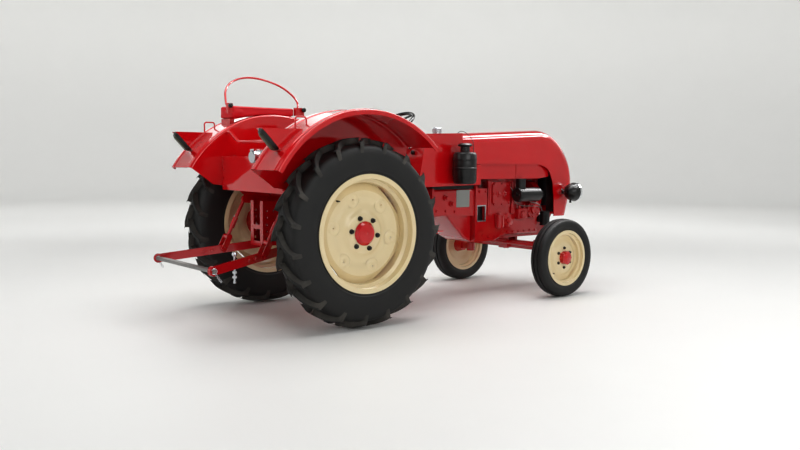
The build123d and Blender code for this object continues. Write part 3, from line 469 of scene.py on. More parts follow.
def bent_lug():
    """One lug as a mesh, bent round the origin's Y axis."""
    bm = bmesh.new()
    corners = [bm.verts.new((around, across, 0.0)) for around, across in LUG_OUTLINE]
    bm.faces.new(corners)
    bmesh.ops.bevel(bm, geom=corners, affect="VERTICES", offset=0.009, segments=2, profile=0.5, material=-1)
    flanks = bmesh.ops.inset_region(bm, faces=bm.faces[:], thickness=LUG_SLANT, depth=LUG_HEIGHT,
                                    use_boundary=True, use_even_offset=True)["faces"]
    for face in flanks:
        face.material_index = 1
    top = max(vert.co.z for vert in bm.verts)
    rim = [edge for edge in bm.edges if min(vert.co.z for vert in edge.verts) > top - 0.001]
    bmesh.ops.bevel(bm, geom=rim, affect="EDGES", offset=0.004, segments=2, profile=0.5, material=0)
    for cut in range(-8, 10):
        bmesh.ops.bisect_plane(bm, geom=bm.verts[:] + bm.edges[:] + bm.faces[:],
                               plane_co=(cut * STRIP_AROUND, 0, 0), plane_no=FORE)
    for cut in range(1, 8):
        bmesh.ops.bisect_plane(bm, geom=bm.verts[:] + bm.edges[:] + bm.faces[:],
                               plane_co=(0, cut * STRIP_ACROSS, 0), plane_no=LEFT)
    for vert in bm.verts:
        around, across, height = vert.co
        share = min(abs(across) / SHOULDER, 1.0)
        foot = LUG_FOOT_R - LUG_FOOT_DROP * share ** 4
        crown = CROWN_R - CROWN_DROP * share ** 2.2
        radius = foot + (crown - foot) * height / top
        vert.co = (radius * math.cos(around / CROWN_R), across, radius * math.sin(around / CROWN_R))
    mesh = bpy.data.meshes.new("bent_lug")
    bm.to_mesh(mesh)
    bm.free()
    return mesh


lug = bent_lug()
print("one lug:", len(lug.polygons), "faces")

# %% [markdown]
# ## Rear tyres
# The carcass is a profile with a bead, a bulging wall and a flat crown, spun round the axle. Nineteen pairs
# of lugs are set on it, each pair's halves half a pitch apart. An array modifier could repeat a pair too, but
# here the copies join the carcass in one mesh that rides the wheel.

# %% Rear tyres
LUG_PAIRS = 19
REAR_WALL = [(0.1085, 0.360), (0.1085, 0.386), (0.1120, 0.396), (0.1160, 0.398), (0.1165, 0.406),
             (0.1165, 0.412), (0.1200, 0.440), (0.1208, 0.490), (0.1170, 0.532), (0.1010, 0.560),
             (0.0500, 0.570)]


def rear_tyre(side):
    """Carcass and lugs of one rear tyre."""
    bm = bmesh.new()
    wall = smooth_line([(across, radius, 0) for across, radius in REAR_WALL], rounds=2)
    half = [(point.x, point.y) for point in wall]
    profile = half + [(-across, radius) for across, radius in reversed(half)]
    turned(bm, profile, (0, 0, 0), LEFT, 152, closed=True)
    for pair in range(LUG_PAIRS):
        for hand in (1, -1):
            start = len(bm.verts)
            bm.from_mesh(lug)
            bm.verts.ensure_lookup_table()
            fresh = bm.verts[start:]
            bmesh.ops.scale(bm, verts=fresh, vec=(1, hand, 1))
            turn = -math.tau * (pair + 0.25 * hand) / LUG_PAIRS
            bmesh.ops.rotate(bm, verts=fresh, cent=(0, 0, 0), matrix=Matrix.Rotation(turn, 3, "Y"))
    bmesh.ops.translate(bm, verts=bm.verts, vec=rear_wheels[side])
    new_piece(f"rear_tyre_{side}_treaded", bm, (tyre_rubber, worn_rubber), f"rear_wheel_{side}",
              (f"rear_tyre_{side}",))


for side, _ in SIDES:
    rear_tyre(side)

# %% [markdown]
# ## Front tyres
# A steered wheel's tyre has ribs that run round the tread and keep it from sliding sideways: a raised one in
# the middle and a broad one on each shoulder. Grooves could be cut into a smooth ring, but ribs that run all
# the way round are part of one profile, so one spin round the axle makes the tyre with its ribs.

# %% Front tyres
FRONT_WALL = [(0.0505, 0.2040), (0.0505, 0.2230), (0.0540, 0.2290), (0.0575, 0.2300), (0.0585, 0.2350),
              (0.0640, 0.2500), (0.0648, 0.2720), (0.0600, 0.2920), (0.0520, 0.3020), (0.0400, 0.3050)]
FRONT_RIBS = [(0.0250, 0.3070), (0.0238, 0.3060), (0.0222, 0.2990), (0.0138, 0.2990), (0.0122, 0.3080),
              (0.0110, 0.3095)]


def front_tyre(side):
    """One ribbed front tyre."""
    bm = bmesh.new()
    wall = smooth_line([(across, radius, 0) for across, radius in FRONT_WALL], rounds=2)
    half = [(point.x, point.y) for point in wall] + FRONT_RIBS
    profile = half + [(-across, radius) for across, radius in reversed(half)]
    turned(bm, profile, front_wheels[side], LEFT, 120, closed=True)
    new_piece(f"front_tyre_{side}_ribbed", bm, (tyre_rubber,), f"front_wheel_{side}",
              (f"front_tyre_{side}",))


for side, _ in SIDES:
    front_tyre(side)

# %% [markdown]
# ## Nuts, dimples, valves and hub lobes
# Six black nuts hold each rear wheel to its hub. Outside them the disc has six shallow pressed rings round
# its drain holes. A front wheel has six smaller nuts and a red hub cap with five lobes, and each rim has the
# stem of its tyre valve. The rings could be dents in the disc itself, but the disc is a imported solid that
# stays as it is, so each ring is a thin turned skin that lies on it.

# %% Fittings of the wheels
WHEEL_NUTS, DIMPLES, HUB_LOBES = 6, 6, 5
DIMPLE = [(-0.004, 0.052, 0), (0.0015, 0.043, 0), (0.0045, 0.032, 0), (0.0045, 0.022, 0), (0.000, 0.011, 0),
          (-0.005, 0.006, 0)]
HUB_LOBE = [(-0.020, 0.0), (-0.020, 0.0150), (0.012, 0.0150), (0.018, 0.0110), (0.019, 0.0)]
REAR_NUT_R, FRONT_NUT_R = 0.103, 0.078
REAR_DISC_FACE, FRONT_DISC_FACE = 0.056, 0.025
DRAIN_R, DRAIN_FACE = 0.230, 0.0385
for side, sign in SIDES:
    outward = Vector((0, sign, 0))
    bm = bmesh.new()
    bolt_circle(bm, rear_wheels[side] + outward * REAR_DISC_FACE, outward, REAR_NUT_R, WHEEL_NUTS, 0.026,
                start=-9, stud=0.006)
    stem = rear_wheels[side] + Vector((-0.196, 0, 0.210)) + outward * 0.030
    stack(bm, stem, outward, -0.004, 0.018, 0.006, 0.005, 16)
    stack(bm, stem, outward, 0.018, 0.032, 0.0042, 0.0042, 12)
    new_piece(f"rear_wheel_nuts_{side}", bm, (black_enamel,), f"rear_wheel_{side}")
    bm = bmesh.new()
    for index in range(DIMPLES):
        turn = Matrix.Rotation(math.radians(-50 + 60 * index), 3, "Y")
        place = rear_wheels[side] + turn @ Vector((DRAIN_R, 0, 0)) + outward * DRAIN_FACE
        turned(bm, [(point.x, point.y) for point in smooth_line(DIMPLE, rounds=3)], place, outward, 32)
    new_piece(f"rear_wheel_dimples_{side}", bm, (cream_enamel,), f"rear_wheel_{side}")
    bm = bmesh.new()
    bolt_circle(bm, front_wheels[side] + outward * FRONT_DISC_FACE, outward, FRONT_NUT_R, WHEEL_NUTS, 0.019,
                start=30, stud=0.004)
    stem = front_wheels[side] + Vector((-0.115, 0, -0.120)) + outward * 0.004
    stack(bm, stem, outward, -0.004, 0.024, 0.005, 0.004, 12)
    new_piece(f"front_wheel_nuts_{side}", bm, (black_enamel,), f"front_wheel_{side}")
    bm = bmesh.new()
    for index in range(HUB_LOBES):
        turn = Matrix.Rotation(math.tau * index / HUB_LOBES, 3, "Y")
        lobe = front_wheels[side] + turn @ Vector((0.041, 0, 0)) + outward * 0.044
        turned(bm, HUB_LOBE, lobe, outward, 24)
    new_piece(f"front_hub_lobes_{side}", bm, (red_enamel,), f"front_wheel_{side}")

# %% [markdown]
# ## The passenger's pad before it is filled
# The pad on the left fender is foam under red vinyl. Its side view is drawn, raised to a block, shrunk a
# little to leave room for the filling, and bevelled. A cube could be scaled instead, but the pad's underside
# isn't straight, and an outline can follow it.

# %% The pad's block
PAD_SIDE = [(-0.342, 1.450), (0.178, 1.450), (0.178, 1.392), (0.000, 1.405), (-0.120, 1.396), (-0.342, 1.362)]
PAD_INSET = 0.004
PAD_SHRINK = (0.985, 1, 0.94)


def pad_block():
    """The pad's block before it is blown up."""
    low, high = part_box("passenger_pad")
    bm = bmesh.new()
    outline = [bm.verts.new(at(x, low[1] + PAD_INSET, z)) for x, z in PAD_SIDE]
    face = bm.faces.new(outline)
    push_out(bm, [face], (0, high[1] - low[1] - 2 * PAD_INSET, 0))
    bmesh.ops.recalc_face_normals(bm, faces=bm.faces)
    centre = middle("passenger_pad")
    bmesh.ops.scale(bm, verts=bm.verts, vec=PAD_SHRINK, space=Matrix.Translation(-centre))
    upright = [edge for edge in bm.edges if edge.calc_face_angle() > math.radians(50)]
    bmesh.ops.bevel(bm, geom=upright, affect="EDGES", offset=0.006, segments=2, profile=0.5, material=-1)
    mesh = bpy.data.meshes.new("passenger_pad_block")
    bm.to_mesh(mesh)
    bm.free()
    return mesh


block_mesh = pad_block()
print("pad's block:", len(block_mesh.polygons), "faces")

# %% [markdown]
# ## Filling the pad
# The block is remeshed evenly and then blown up by the cloth solver with a light pressure, which crowns the
# top and pulls the sides in between the corners. A bevelled box would do from afar, but its faces would stay
# flat, and stretched vinyl never is.

# %% Swollen pad
PAD_VOXEL = 0.006
PAD_SWELL = 0.006
PAD_PRESSURE = 4.0
VINYL_STIFFNESS, VINYL_BENDING = 30.0, 0.6
SOLVER_FRAMES = 20


def evaluated_mesh(obj):
    """The object's mesh with its modifiers applied."""
    return bpy.data.meshes.new_from_object(obj.evaluated_get(bpy.context.evaluated_depsgraph_get()))


def swollen_pad():
    """The block, remeshed and blown up by the cloth solver."""
    pad = bpy.data.objects.new("passenger_pad_foam", block_mesh)
    bpy.context.scene.collection.objects.link(pad)
    remesh = pad.modifiers.new("even_mesh", "REMESH")
    remesh.mode = "VOXEL"
    remesh.voxel_size = PAD_VOXEL
    even = evaluated_mesh(pad)
    pad.modifiers.clear()
    pad.data = even
    cloth = pad.modifiers.new("filling", "CLOTH")
    cloth.settings.use_pressure = True
    cloth.settings.uniform_pressure_force = PAD_PRESSURE
    cloth.settings.tension_stiffness = VINYL_STIFFNESS
    cloth.settings.compression_stiffness = VINYL_STIFFNESS
    cloth.settings.bending_stiffness = VINYL_BENDING
    cloth.settings.effector_weights.gravity = 0.0
    cloth.point_cache.frame_start = 1
    cloth.point_cache.frame_end = SOLVER_FRAMES
    for frame_number in range(1, SOLVER_FRAMES + 1):
        bpy.context.scene.frame_set(frame_number)
    blown = evaluated_mesh(pad)
    starts = [vert.co.copy() for vert in pad.data.vertices]
    pad.modifiers.clear()
    for vert, start in zip(blown.vertices, starts):
        move = vert.co - start
        if move.length > PAD_SWELL:
            vert.co = start + move.normalized() * PAD_SWELL
    pad.data = blown
    bpy.context.scene.frame_set(1)
    mesh = pad.data
    bpy.data.objects.remove(pad)
    return mesh


bm = bmesh.new()
bm.from_mesh(swollen_pad())
bmesh.ops.smooth_vert(bm, verts=bm.verts, factor=0.5, use_axis_x=True, use_axis_y=True, use_axis_z=True)
pad_top = max(vert.co.z for vert in bm.verts)
pad_piece = new_piece("passenger_pad_vinyl", bm, (pad_vinyl,), "chassis", ("passenger_pad",))
finer = pad_piece.modifiers.new("finer", "SUBSURF")
finer.levels = finer.render_levels = 1

# %% [markdown]
# ## The pad's welt
# A sewn welt runs round the pad's upper edge. It could be a loop drawn by hand, but then it would sink into
# the swollen sides. A level plane cuts the finished pad instead, and the cut's points are the welt's line.

# %% Welt
WELT_DROP = 0.012
WELT_R = 0.0032
bm = bmesh.new()
bm.from_mesh(pad_piece.data)
cut = bmesh.ops.bisect_plane(bm, geom=bm.verts[:] + bm.edges[:] + bm.faces[:],
                             plane_co=(0, 0, pad_top - WELT_DROP), plane_no=UP)
ring = [item.co.copy() for item in cut["geom_cut"] if isinstance(item, bmesh.types.BMVert)]
bm.free()
pad_middle = middle("passenger_pad")
ring.sort(key=lambda point: math.atan2(point.y - pad_middle.y, point.x - pad_middle.x))
bm = bmesh.new()
add_tube(bm, ring[::3], WELT_R, rounds=0, cyclic=True)
new_piece("passenger_pad_welt", bm, (pad_vinyl,), "chassis")

# %% [markdown]
# ## Passenger's rail
# A bow of thin tube stands over the pad as its back rest, and two black knobs fix its brackets. The bow's
# route is a line whose corners are cut four times over, which makes it one smooth curve. A spline would be as
# smooth, but then each of its handles would have to be placed as well.

# %% Bow rail and knobs
KNOB = [(0.0, 0.0), (0.0, 0.009), (0.006, 0.010), (0.008, 0.016), (0.020, 0.017), (0.026, 0.012),
        (0.028, 0.0)]
bm = bmesh.new()
for x, y, z in ((-0.366, 0.440, 1.452), (0.240, 0.440, 1.444)):
    turned(bm, KNOB, at(x, y, z), RIGHT, 28)
new_piece("bracket_knobs", bm, (wheel_plastic,), "chassis")
BOW_ROUTE = [(-0.362, 0.470, 1.456), (-0.362, 0.506, 1.456), (-0.318, 0.606, 1.612), (-0.098, 0.684, 1.697),
             (0.150, 0.640, 1.645), (0.256, 0.536, 1.525), (0.236, 0.506, 1.446), (0.236, 0.470, 1.446)]
bm = bmesh.new()
add_tube(bm, [at(x, y, z) for x, y, z in BOW_ROUTE], 0.008, rounds=4)
new_piece("seat_bow_tube", bm, (red_enamel,), "chassis", ("seat_bow",))

# %% [markdown]
# ## Driver's seat
# The pan's edge is rolled into a thick bead, which catches the light all along the back. Rolling the sheet's
# edge over would mean modelling the pan anew, so a closed ring of tube lies on the solid's edge. It follows
# the pan's rounded plan, and its height follows the line where the sides are cut down.

# %% Seat bead
SEAT_CORNER = 0.107
SIDE_STEPS = (0.145, 0.160, 0.190, 0.230, 0.270)
SEAT_RIM = [(0.020, 1.340), (0.115, 1.340), (0.160, 1.230), (0.230, 1.186), (0.420, 1.169)]


def rim_height(x):
    """Height of the pan's cut edge this far ahead of the rear axle."""
    for (x0, z0), (x1, z1) in zip(SEAT_RIM, SEAT_RIM[1:]):
        if x <= x1:
            return z0 + (z1 - z0) * max(x - x0, 0) / (x1 - x0)
    return SEAT_RIM[-1][1]


seat_low, seat_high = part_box("driver_seat")
half_width = seat_high[1] - 0.003
rear_edge, front_edge = seat_low[0] - REAR_AXLE_X + 0.003, seat_high[0] - REAR_AXLE_X - 0.003
plan = []
for start, corner in ((180, (rear_edge, half_width)), (90, (front_edge, half_width)),
                      (0, (front_edge, -half_width)), (-90, (rear_edge, -half_width))):
    hub_x = corner[0] + (SEAT_CORNER if corner[0] == rear_edge else -SEAT_CORNER)
    hub_y = corner[1] - math.copysign(SEAT_CORNER, corner[1])
    plan += [(hub_x + SEAT_CORNER * math.cos(math.radians(start - step * 9)),
              hub_y + SEAT_CORNER * math.sin(math.radians(start - step * 9))) for step in range(11)]
    if start in (180, 0):
        side_steps = SIDE_STEPS if start == 180 else reversed(SIDE_STEPS)
        plan += [(x, math.copysign(half_width, corner[1])) for x in side_steps]
bm = bmesh.new()
add_tube(bm, [at(x, y, rim_height(x)) for x, y in plan], 0.0085, rounds=0, cyclic=True)
new_piece("driver_seat_bead", bm, (red_enamel,), "chassis")

# %% [markdown]
# ## Tail lamps
# Each tail lamp is a red wedge on the fender whose slanted rear face holds a dark lens in a black rim. Both
# are a flat panel with rounded corners, raised by an inset, so one helper makes them, and later the other
# panels on flat faces too.

# %% Tail lamps
LAMP_RIM, LAMP_LENS = (0.074, 0.176), (0.044, 0.142)
LAMP_TIP, LAMP_FOOT = Vector((-0.713, 0.0, 1.262)), Vector((-0.588, 0.0, 1.130))


def raised_panel(bm, centre, across, along, size, rise, corner):
    """A rounded panel that stands a little proud of a face; size is its width and its height."""
    across, along = Vector(across), Vector(along)
    facing = across.cross(along)
    place = Matrix.Translation(centre) @ Matrix((across, along, facing)).transposed().to_4x4()
    grid = bmesh.ops.create_grid(bm, x_segments=1, y_segments=1, size=0.5)
    corners = grid["verts"]
    bmesh.ops.scale(bm, verts=corners, vec=(*size, 1))
    rounded = bmesh.ops.bevel(bm, geom=corners, affect="VERTICES", offset=corner, segments=5, profile=0.5,
                              material=-1)
    faces = list({face for vert in rounded["verts"] for face in vert.link_faces})
    rims = bmesh.ops.inset_region(bm, faces=faces, thickness=rise * 0.7, depth=rise,
                                  use_boundary=True)["faces"]
    everything = list({vert for face in faces + rims for vert in face.verts})
    bmesh.ops.transform(bm, matrix=place, verts=everything)


down_the_face = (LAMP_FOOT - LAMP_TIP).normalized()
facing = Vector(LEFT).cross(down_the_face)
for side, sign in SIDES:
    face_middle = LAMP_TIP.lerp(LAMP_FOOT, 0.5) + Vector((REAR_AXLE_X, sign * 0.600, 0))
    bm = bmesh.new()
    raised_panel(bm, face_middle - facing * 0.001, LEFT, down_the_face, LAMP_RIM, 0.020, 0.034)
    new_piece(f"tail_lamp_rim_{side}", bm, (black_enamel,), "chassis")
    bm = bmesh.new()
    raised_panel(bm, face_middle + facing * 0.014, LEFT, down_the_face, LAMP_LENS, 0.014, 0.021)
    new_piece(f"tail_lamp_lens_{side}", bm, (lamp_glass,), "chassis")

# %% [markdown]
# ## Headlamps
# The headlamps get a chrome bezel, a fluted lens and a bright clamp with a bolt on their arms. Bezel, lens
# and clamp are turned forms, so each is a short profile and a spin. The flutes are too fine to model, and
# the glass shows them by its grain alone.

# %% Headlamps
HEADLAMP_Y, HEADLAMP_Z = 0.350, 0.816
BEZEL = [(0.028, 0.0790), (0.047, 0.0800), (0.0505, 0.0775), (0.0505, 0.0700), (0.047, 0.0690)]
LENS = [(0.0475, 0.0700), (0.0520, 0.0580), (0.0560, 0.0400), (0.0590, 0.0200), (0.0600, 0.0)]
ARM_CLAMP = [(-0.010, 0.0145), (-0.010, 0.021), (0.012, 0.021), (0.014, 0.0145)]
bm, lens_bm = bmesh.new(), bmesh.new()
for _, sign in SIDES:
    centre = at(2.410, sign * HEADLAMP_Y, HEADLAMP_Z)
    turned(bm, BEZEL, centre, FORE, 64)
    turned(lens_bm, LENS, centre, FORE, 64)
    clamp = at(2.390, sign * 0.262, HEADLAMP_Z)
    turned(bm, ARM_CLAMP, clamp, (0, sign, 0), 32)
    bolt(bm, clamp + Vector((0, 0, 0.020)), UP, 0.011)
new_piece("headlamp_bezels", bm, (chrome,), "hood")
new_piece("headlamp_lenses", lens_bm, (fluted_glass,), "hood")

# %% [markdown]
# ## Controls
# The driver faces the cowl's rear face with a round gauge, a small bright switch and two knobs. The gauge's
# dial stays blank. The gear lever ends in a black ball, and the pedals have ribbed pads. The face leans, so
# one helper finds a point on it by its height, and the turned forms take the face's direction as their axis.

# %% Controls
GAUGE = [(-0.002, 0.044), (0.008, 0.044), (0.011, 0.041), (0.011, 0.037), (0.004, 0.035)]
SWITCH = [(-0.001, 0.017), (0.004, 0.017), (0.006, 0.013), (0.006, 0.0)]
LEVER_BALL = [(-0.012, 0.0), (-0.012, 0.009), (0.0, 0.0165), (0.010, 0.0185), (0.022, 0.015), (0.029, 0.008),
              (0.031, 0.0)]
LEVER_TOP, LEVER_LEAN = at(0.620, 0, 1.080), (-0.3, 0, 0.95)
GAUGE_HEIGHT, GAUGE_Y = 1.165, 0.125
RIB_PITCH = 0.008
PANEL_FOOT, PANEL_TOP = Vector((0.800, 0, 0.876)), Vector((0.880, 0, 1.272))
panel_up = (PANEL_TOP - PANEL_FOOT).normalized()
panel_facing = panel_up.cross(Vector(LEFT))


def on_panel(height, y):
    """A point on the cowl's rear face."""
    share = (height - PANEL_FOOT.z) / (PANEL_TOP.z - PANEL_FOOT.z)
    return PANEL_FOOT.lerp(PANEL_TOP, share) + Vector((REAR_AXLE_X, y, 0))


bm = bmesh.new()
turned(bm, GAUGE, on_panel(GAUGE_HEIGHT, GAUGE_Y), panel_facing, 48)
turned(bm, SWITCH, on_panel(1.170, -0.085), panel_facing, 32)
new_piece("gauge_bezel", bm, (chrome,), "chassis")
bm = bmesh.new()
stack(bm, on_panel(GAUGE_HEIGHT, GAUGE_Y), panel_facing, 0.0, 0.004, 0.037, 0.037, 48)
stack(bm, on_panel(GAUGE_HEIGHT, GAUGE_Y), panel_facing, 0.004, 0.007, 0.005, 0.004, 20)
for height in (1.130, 1.200):
    turned(bm, KNOB, on_panel(height, -0.140), panel_facing, 24)
turned(bm, LEVER_BALL, LEVER_TOP, LEVER_LEAN, 28)
new_piece("gauge_and_knobs", bm, (wheel_plastic,), "chassis")
bm = bmesh.new()
for _, sign in SIDES:
    for rib in range(5):
        block(bm, at(0.6825 + RIB_PITCH * rib, sign * 0.255, 0.7275), (0.0042, 0.054, 0.005))
new_piece("pedal_ribs", bm, (tyre_rubber,), "chassis")

# %% [markdown]
# ## Bolts on the engine
# Covers are held by rings and rows of bolts, and those make a casting look assembled. Each bolt is a real
# hexagon on a washer, because a bump pattern would have neither its edges nor its shadow. They are joined
# into one piece, since no bolt ever moves alone.

# %% Engine bolts
ENGINE_SIDE_Y = -0.188
TAPPET_COVER_BOLTS = ((1.655, 0.732), (1.740, 0.726), (1.825, 0.732), (1.832, 0.808), (1.825, 0.884),
                      (1.740, 0.890), (1.655, 0.884), (1.648, 0.808))
bm = bmesh.new()
for x, z in TAPPET_COVER_BOLTS:
    bolt(bm, at(x, ENGINE_SIDE_Y, z), RIGHT, 0.013)
bolt_circle(bm, at(2.110, -0.205, 0.672), RIGHT, 0.062, 6, 0.015, start=15)
bolt_circle(bm, at(2.110, -0.222, 0.672), RIGHT, 0.026, 3, 0.011, start=30)
for _, sign in SIDES:
    bolt_row(bm, at(1.480, sign * 0.165, 0.490), at(1.680, sign * 0.165, 0.450), 4, (0, sign, 0), 0.015)
    bolt_row(bm, at(1.490, sign * 0.186, 0.830), at(1.560, sign * 0.186, 0.830), 2, (0, sign, 0), 0.017)
    bolt_row(bm, at(1.830, sign * 0.165, 0.492), at(2.170, sign * 0.165, 0.492), 6, (0, sign, 0), 0.015)
new_piece("engine_bolts", bm, (red_casting,), "chassis")

# %% [markdown]
# ## Window of the bell housing
# The bell housing's opening has a bare metal frame, and a black sheet inside it paints the shade in the
# opening. The frame is a flat sheet whose middle is inset and taken out before the rest is pushed to its
# thickness, which needs no boolean.

# %% Window frame and painted shade
WINDOW_SIZE = (0.102, 0.131)
WINDOW_SHADE_SHEET = (0.100, 0.128)
window_middle = at(1.507, -0.1861, 0.657)
bm = bmesh.new()
bmesh.ops.create_grid(bm, x_segments=1, y_segments=1, size=0.5)
bmesh.ops.scale(bm, verts=bm.verts, vec=(*WINDOW_SIZE, 1))
opening = bm.faces[:]
frame_faces = bmesh.ops.inset_region(bm, faces=opening, thickness=0.013, depth=0.0,
                                     use_boundary=True)["faces"]
bmesh.ops.delete(bm, geom=opening, context="FACES_ONLY")
push_out(bm, frame_faces, (0, 0, 0.006))
upright = Matrix.Rotation(math.radians(90), 4, "X")
bmesh.ops.transform(bm, verts=bm.verts, matrix=Matrix.Translation(window_middle) @ upright)
new_piece("bell_housing_window_frame", bm, (zinc_plate,), "chassis")

# A black sheet in the opening paints the shade inside the bell housing.
bm = bmesh.new()
raised_panel(bm, window_middle + Vector((0, 0.030, 0)), FORE, UP, WINDOW_SHADE_SHEET, 0.002, 0.004)
new_piece("bell_housing_window_painted_shade", bm, (black_enamel,), "chassis")

# %% [markdown]
# ## Blank plate
# The plate on the gearbox stays blank, with a rivet near each corner. It is as thin as sheet, so a raised
# panel with rounded corners is enough, and the rivets are low twelve-sided cones.

# %% Blank plate
PLATE_SIZE = Vector((0.141, 0.136))
RIVET_SHARE = 0.86
plate_middle = at(1.3145, -0.1822, 0.780)
bm = bmesh.new()
raised_panel(bm, plate_middle, FORE, UP, PLATE_SIZE, 0.0022, 0.008)
for x in (-0.5, 0.5):
    for z in (-0.5, 0.5):
        rivet = plate_middle + Vector((x * PLATE_SIZE.x, 0, z * PLATE_SIZE.y)) * RIVET_SHARE
        stack(bm, rivet, RIGHT, 0.001, 0.0042, 0.0042, 0.0026, 12)
new_piece("blank_plate", bm, (blank_plate,), "chassis")

# %% [markdown]
# ## Fuel lines and control wire
# A steel fuel line runs from the filter up to each cylinder, and a stiff control wire leads from the cowl's
# shoulder, round the bonnet's rear edge, down to the air cleaner. A solver could let them hang, but such
# lines are bent once and never move again, so their routes are a few given points.

# %% Fuel lines and wire
FUEL_LINE_R, WIRE_R = 0.0030, 0.0024
bm = bmesh.new()
add_tube(bm, [at(2.200, -0.215, 0.655), at(2.150, -0.235, 0.720), at(2.020, -0.215, 0.735),
              at(1.980, -0.200, 0.850), at(1.965, -0.150, 0.900)], FUEL_LINE_R, rounds=3)
add_tube(bm, [at(2.210, -0.205, 0.655), at(2.160, -0.225, 0.700), at(1.870, -0.205, 0.705),
              at(1.866, -0.195, 0.860), at(1.740, -0.150, 0.912), at(1.665, -0.110, 0.905)],
         FUEL_LINE_R, rounds=3)
new_piece("fuel_lines", bm, (rolled_steel,), "chassis")

bm = bmesh.new()
add_tube(bm, [at(1.215, -0.190, 1.262), at(1.255, -0.222, 1.315), at(1.330, -0.280, 1.240),
              at(1.315, -0.292, 1.120), at(1.262, -0.330, 1.060)], WIRE_R, rounds=3)
new_piece("control_wire", bm, (black_enamel,), "chassis")

# %% [markdown]
# ## Push-rod tubes and domed nuts
# Four push-rod tubes with a collar at each end stand beside the tappet cover, which two domed nuts hold, and
# above it show the lowest cooling fins of the heads. Straight tubes need no line and no profile, so they are
# plain cylinders, and the fins are thin blocks.

# %% Push-rod tubes, fins and nuts
DOMED_NUT = [(-0.002, 0.0), (-0.002, 0.026), (0.004, 0.024), (0.006, 0.015), (0.016, 0.013), (0.022, 0.007),
             (0.023, 0.0)]
bm = bmesh.new()
for height in (0.907, 0.915, 0.923):
    block(bm, at(1.740, -0.145, height), (0.330, 0.096, 0.003))
for x in (1.600, 1.618, 1.872, 1.890):
    stack(bm, at(x, -0.176, 0.640), UP, 0.0, 0.275, 0.0085, 0.0085, 20)
    for low in (0.004, 0.246):
        stack(bm, at(x, -0.176, 0.640), UP, low, low + 0.020, 0.0125, 0.0125, 20)
for x in (1.705, 1.775):
    turned(bm, DOMED_NUT, at(x, ENGINE_SIDE_Y, 0.808), RIGHT, 28)
new_piece("push_rod_tubes", bm, (red_casting,), "chassis")

# %% [markdown]
# ## Injection gear
# On the engine's right side stand the injection pump with its two delivery unions, the oil filter's bowl, a
# round timing cover and an injector at each cylinder. Joined cylinders could make them, but a round casting
# has steps and tapers, and a profile with a name shows them all in one line.

# %% Injection gear
PUMP_X = 1.975
PUMP_COVER = [(-0.004, 0.0), (-0.004, 0.034), (0.012, 0.034), (0.016, 0.030), (0.016, 0.0)]
FILTER_BOWL = [(0.0, 0.0), (0.0, 0.030), (0.014, 0.037), (0.092, 0.037), (0.096, 0.043), (0.110, 0.043),
               (0.114, 0.020), (0.122, 0.018), (0.122, 0.0)]
TIMING_COVER = [(-0.004, 0.062), (0.010, 0.060), (0.014, 0.050), (0.018, 0.026), (0.024, 0.024), (0.024, 0.0)]
INJECTOR = [(0.0, 0.020), (0.012, 0.026), (0.030, 0.026), (0.036, 0.018), (0.036, 0.0)]
bm = bmesh.new()
block(bm, at(PUMP_X, -0.186, 0.640), (0.110, 0.050, 0.090))
bmesh.ops.bevel(bm, geom=bm.edges[:], affect="EDGES", offset=0.010, segments=3, profile=0.5, material=-1)
for x in (1.945, 2.005):
    stack(bm, at(x, -0.190, 0.683), UP, 0.0, 0.026, 0.012, 0.010, 20)
    stack(bm, at(x, -0.190, 0.683), UP, 0.020, 0.034, 0.011, 0.011, 6)
turned(bm, PUMP_COVER, at(PUMP_X, -0.208, 0.632), RIGHT, 40)
bolt_circle(bm, at(PUMP_X, -0.224, 0.632), RIGHT, 0.022, 4, 0.008)
turned(bm, FILTER_BOWL, at(1.720, -0.186, 0.530), UP, 40)
turned(bm, TIMING_COVER, at(1.830, -0.165, 0.590), RIGHT, 48)
bolt_circle(bm, at(1.830, -0.176, 0.590), RIGHT, 0.053, 6, 0.010)
for x in (1.665, 1.965):
    turned(bm, INJECTOR, at(x, -0.098, 0.875), RIGHT, 28)
add_tube(bm, [at(1.860, -0.180, 0.700), at(1.862, -0.192, 0.760), at(1.862, -0.192, 0.800)], 0.007)
new_piece("injection_gear", bm, (red_casting,), "chassis")

# %% [markdown]
# ## Generator
# The generator has a grooved pulley in front, and a brush band and a bearing cap behind. The pulley's groove
# could be cut with a boolean, but in a profile it is one point nearer to the axis.

# %% Generator's ends
PULLEY = [(0.0, 0.0), (0.0, 0.042), (0.004, 0.044), (0.010, 0.034), (0.016, 0.044), (0.020, 0.042),
          (0.020, 0.012), (0.026, 0.010), (0.026, 0.0)]
BRUSH_BAND = [(0.022, 0.0575), (0.022, 0.0595), (0.046, 0.0595), (0.046, 0.0575)]
BEARING_CAP = [(-0.002, 0.0), (-0.002, 0.018), (0.010, 0.016), (0.013, 0.0)]
generator_front, generator_rear = at(2.112, -0.245, 0.800), at(1.850, -0.245, 0.800)
bm = bmesh.new()
turned(bm, PULLEY, generator_front, FORE, 48)
turned(bm, BRUSH_BAND, generator_rear, FORE, 48)
bolt_circle(bm, generator_rear, AFT, 0.034, 2, 0.010)
turned(bm, BEARING_CAP, generator_rear, AFT, 24)
new_piece("generator_pulley", bm, (black_enamel,), "chassis")

# %% [markdown]
# ## Air duct and cowl lips
# A black duct leads the air from the grille to the blower, and a lip on each side of the cowl fills the step
# below the bonnet's edge. All are flat sheet. They are blocks with a real thickness, because a single face
# would vanish when seen edge on.

# %% Duct and lips
bm = bmesh.new()
for y in (-0.165, 0.165):
    block(bm, at(2.356, y, 0.812), (0.108, 0.002, 0.344))
block(bm, at(2.356, 0, 0.985), (0.108, 0.332, 0.002))
new_piece("air_duct", bm, (black_enamel,), "chassis")
bm = bmesh.new()
for y in (-0.2470, 0.2470):
    block(bm, at(1.3405, y, 1.0145), (0.199, 0.0045, 0.061))
new_piece("cowl_side_lips", bm, (red_enamel,), "chassis")

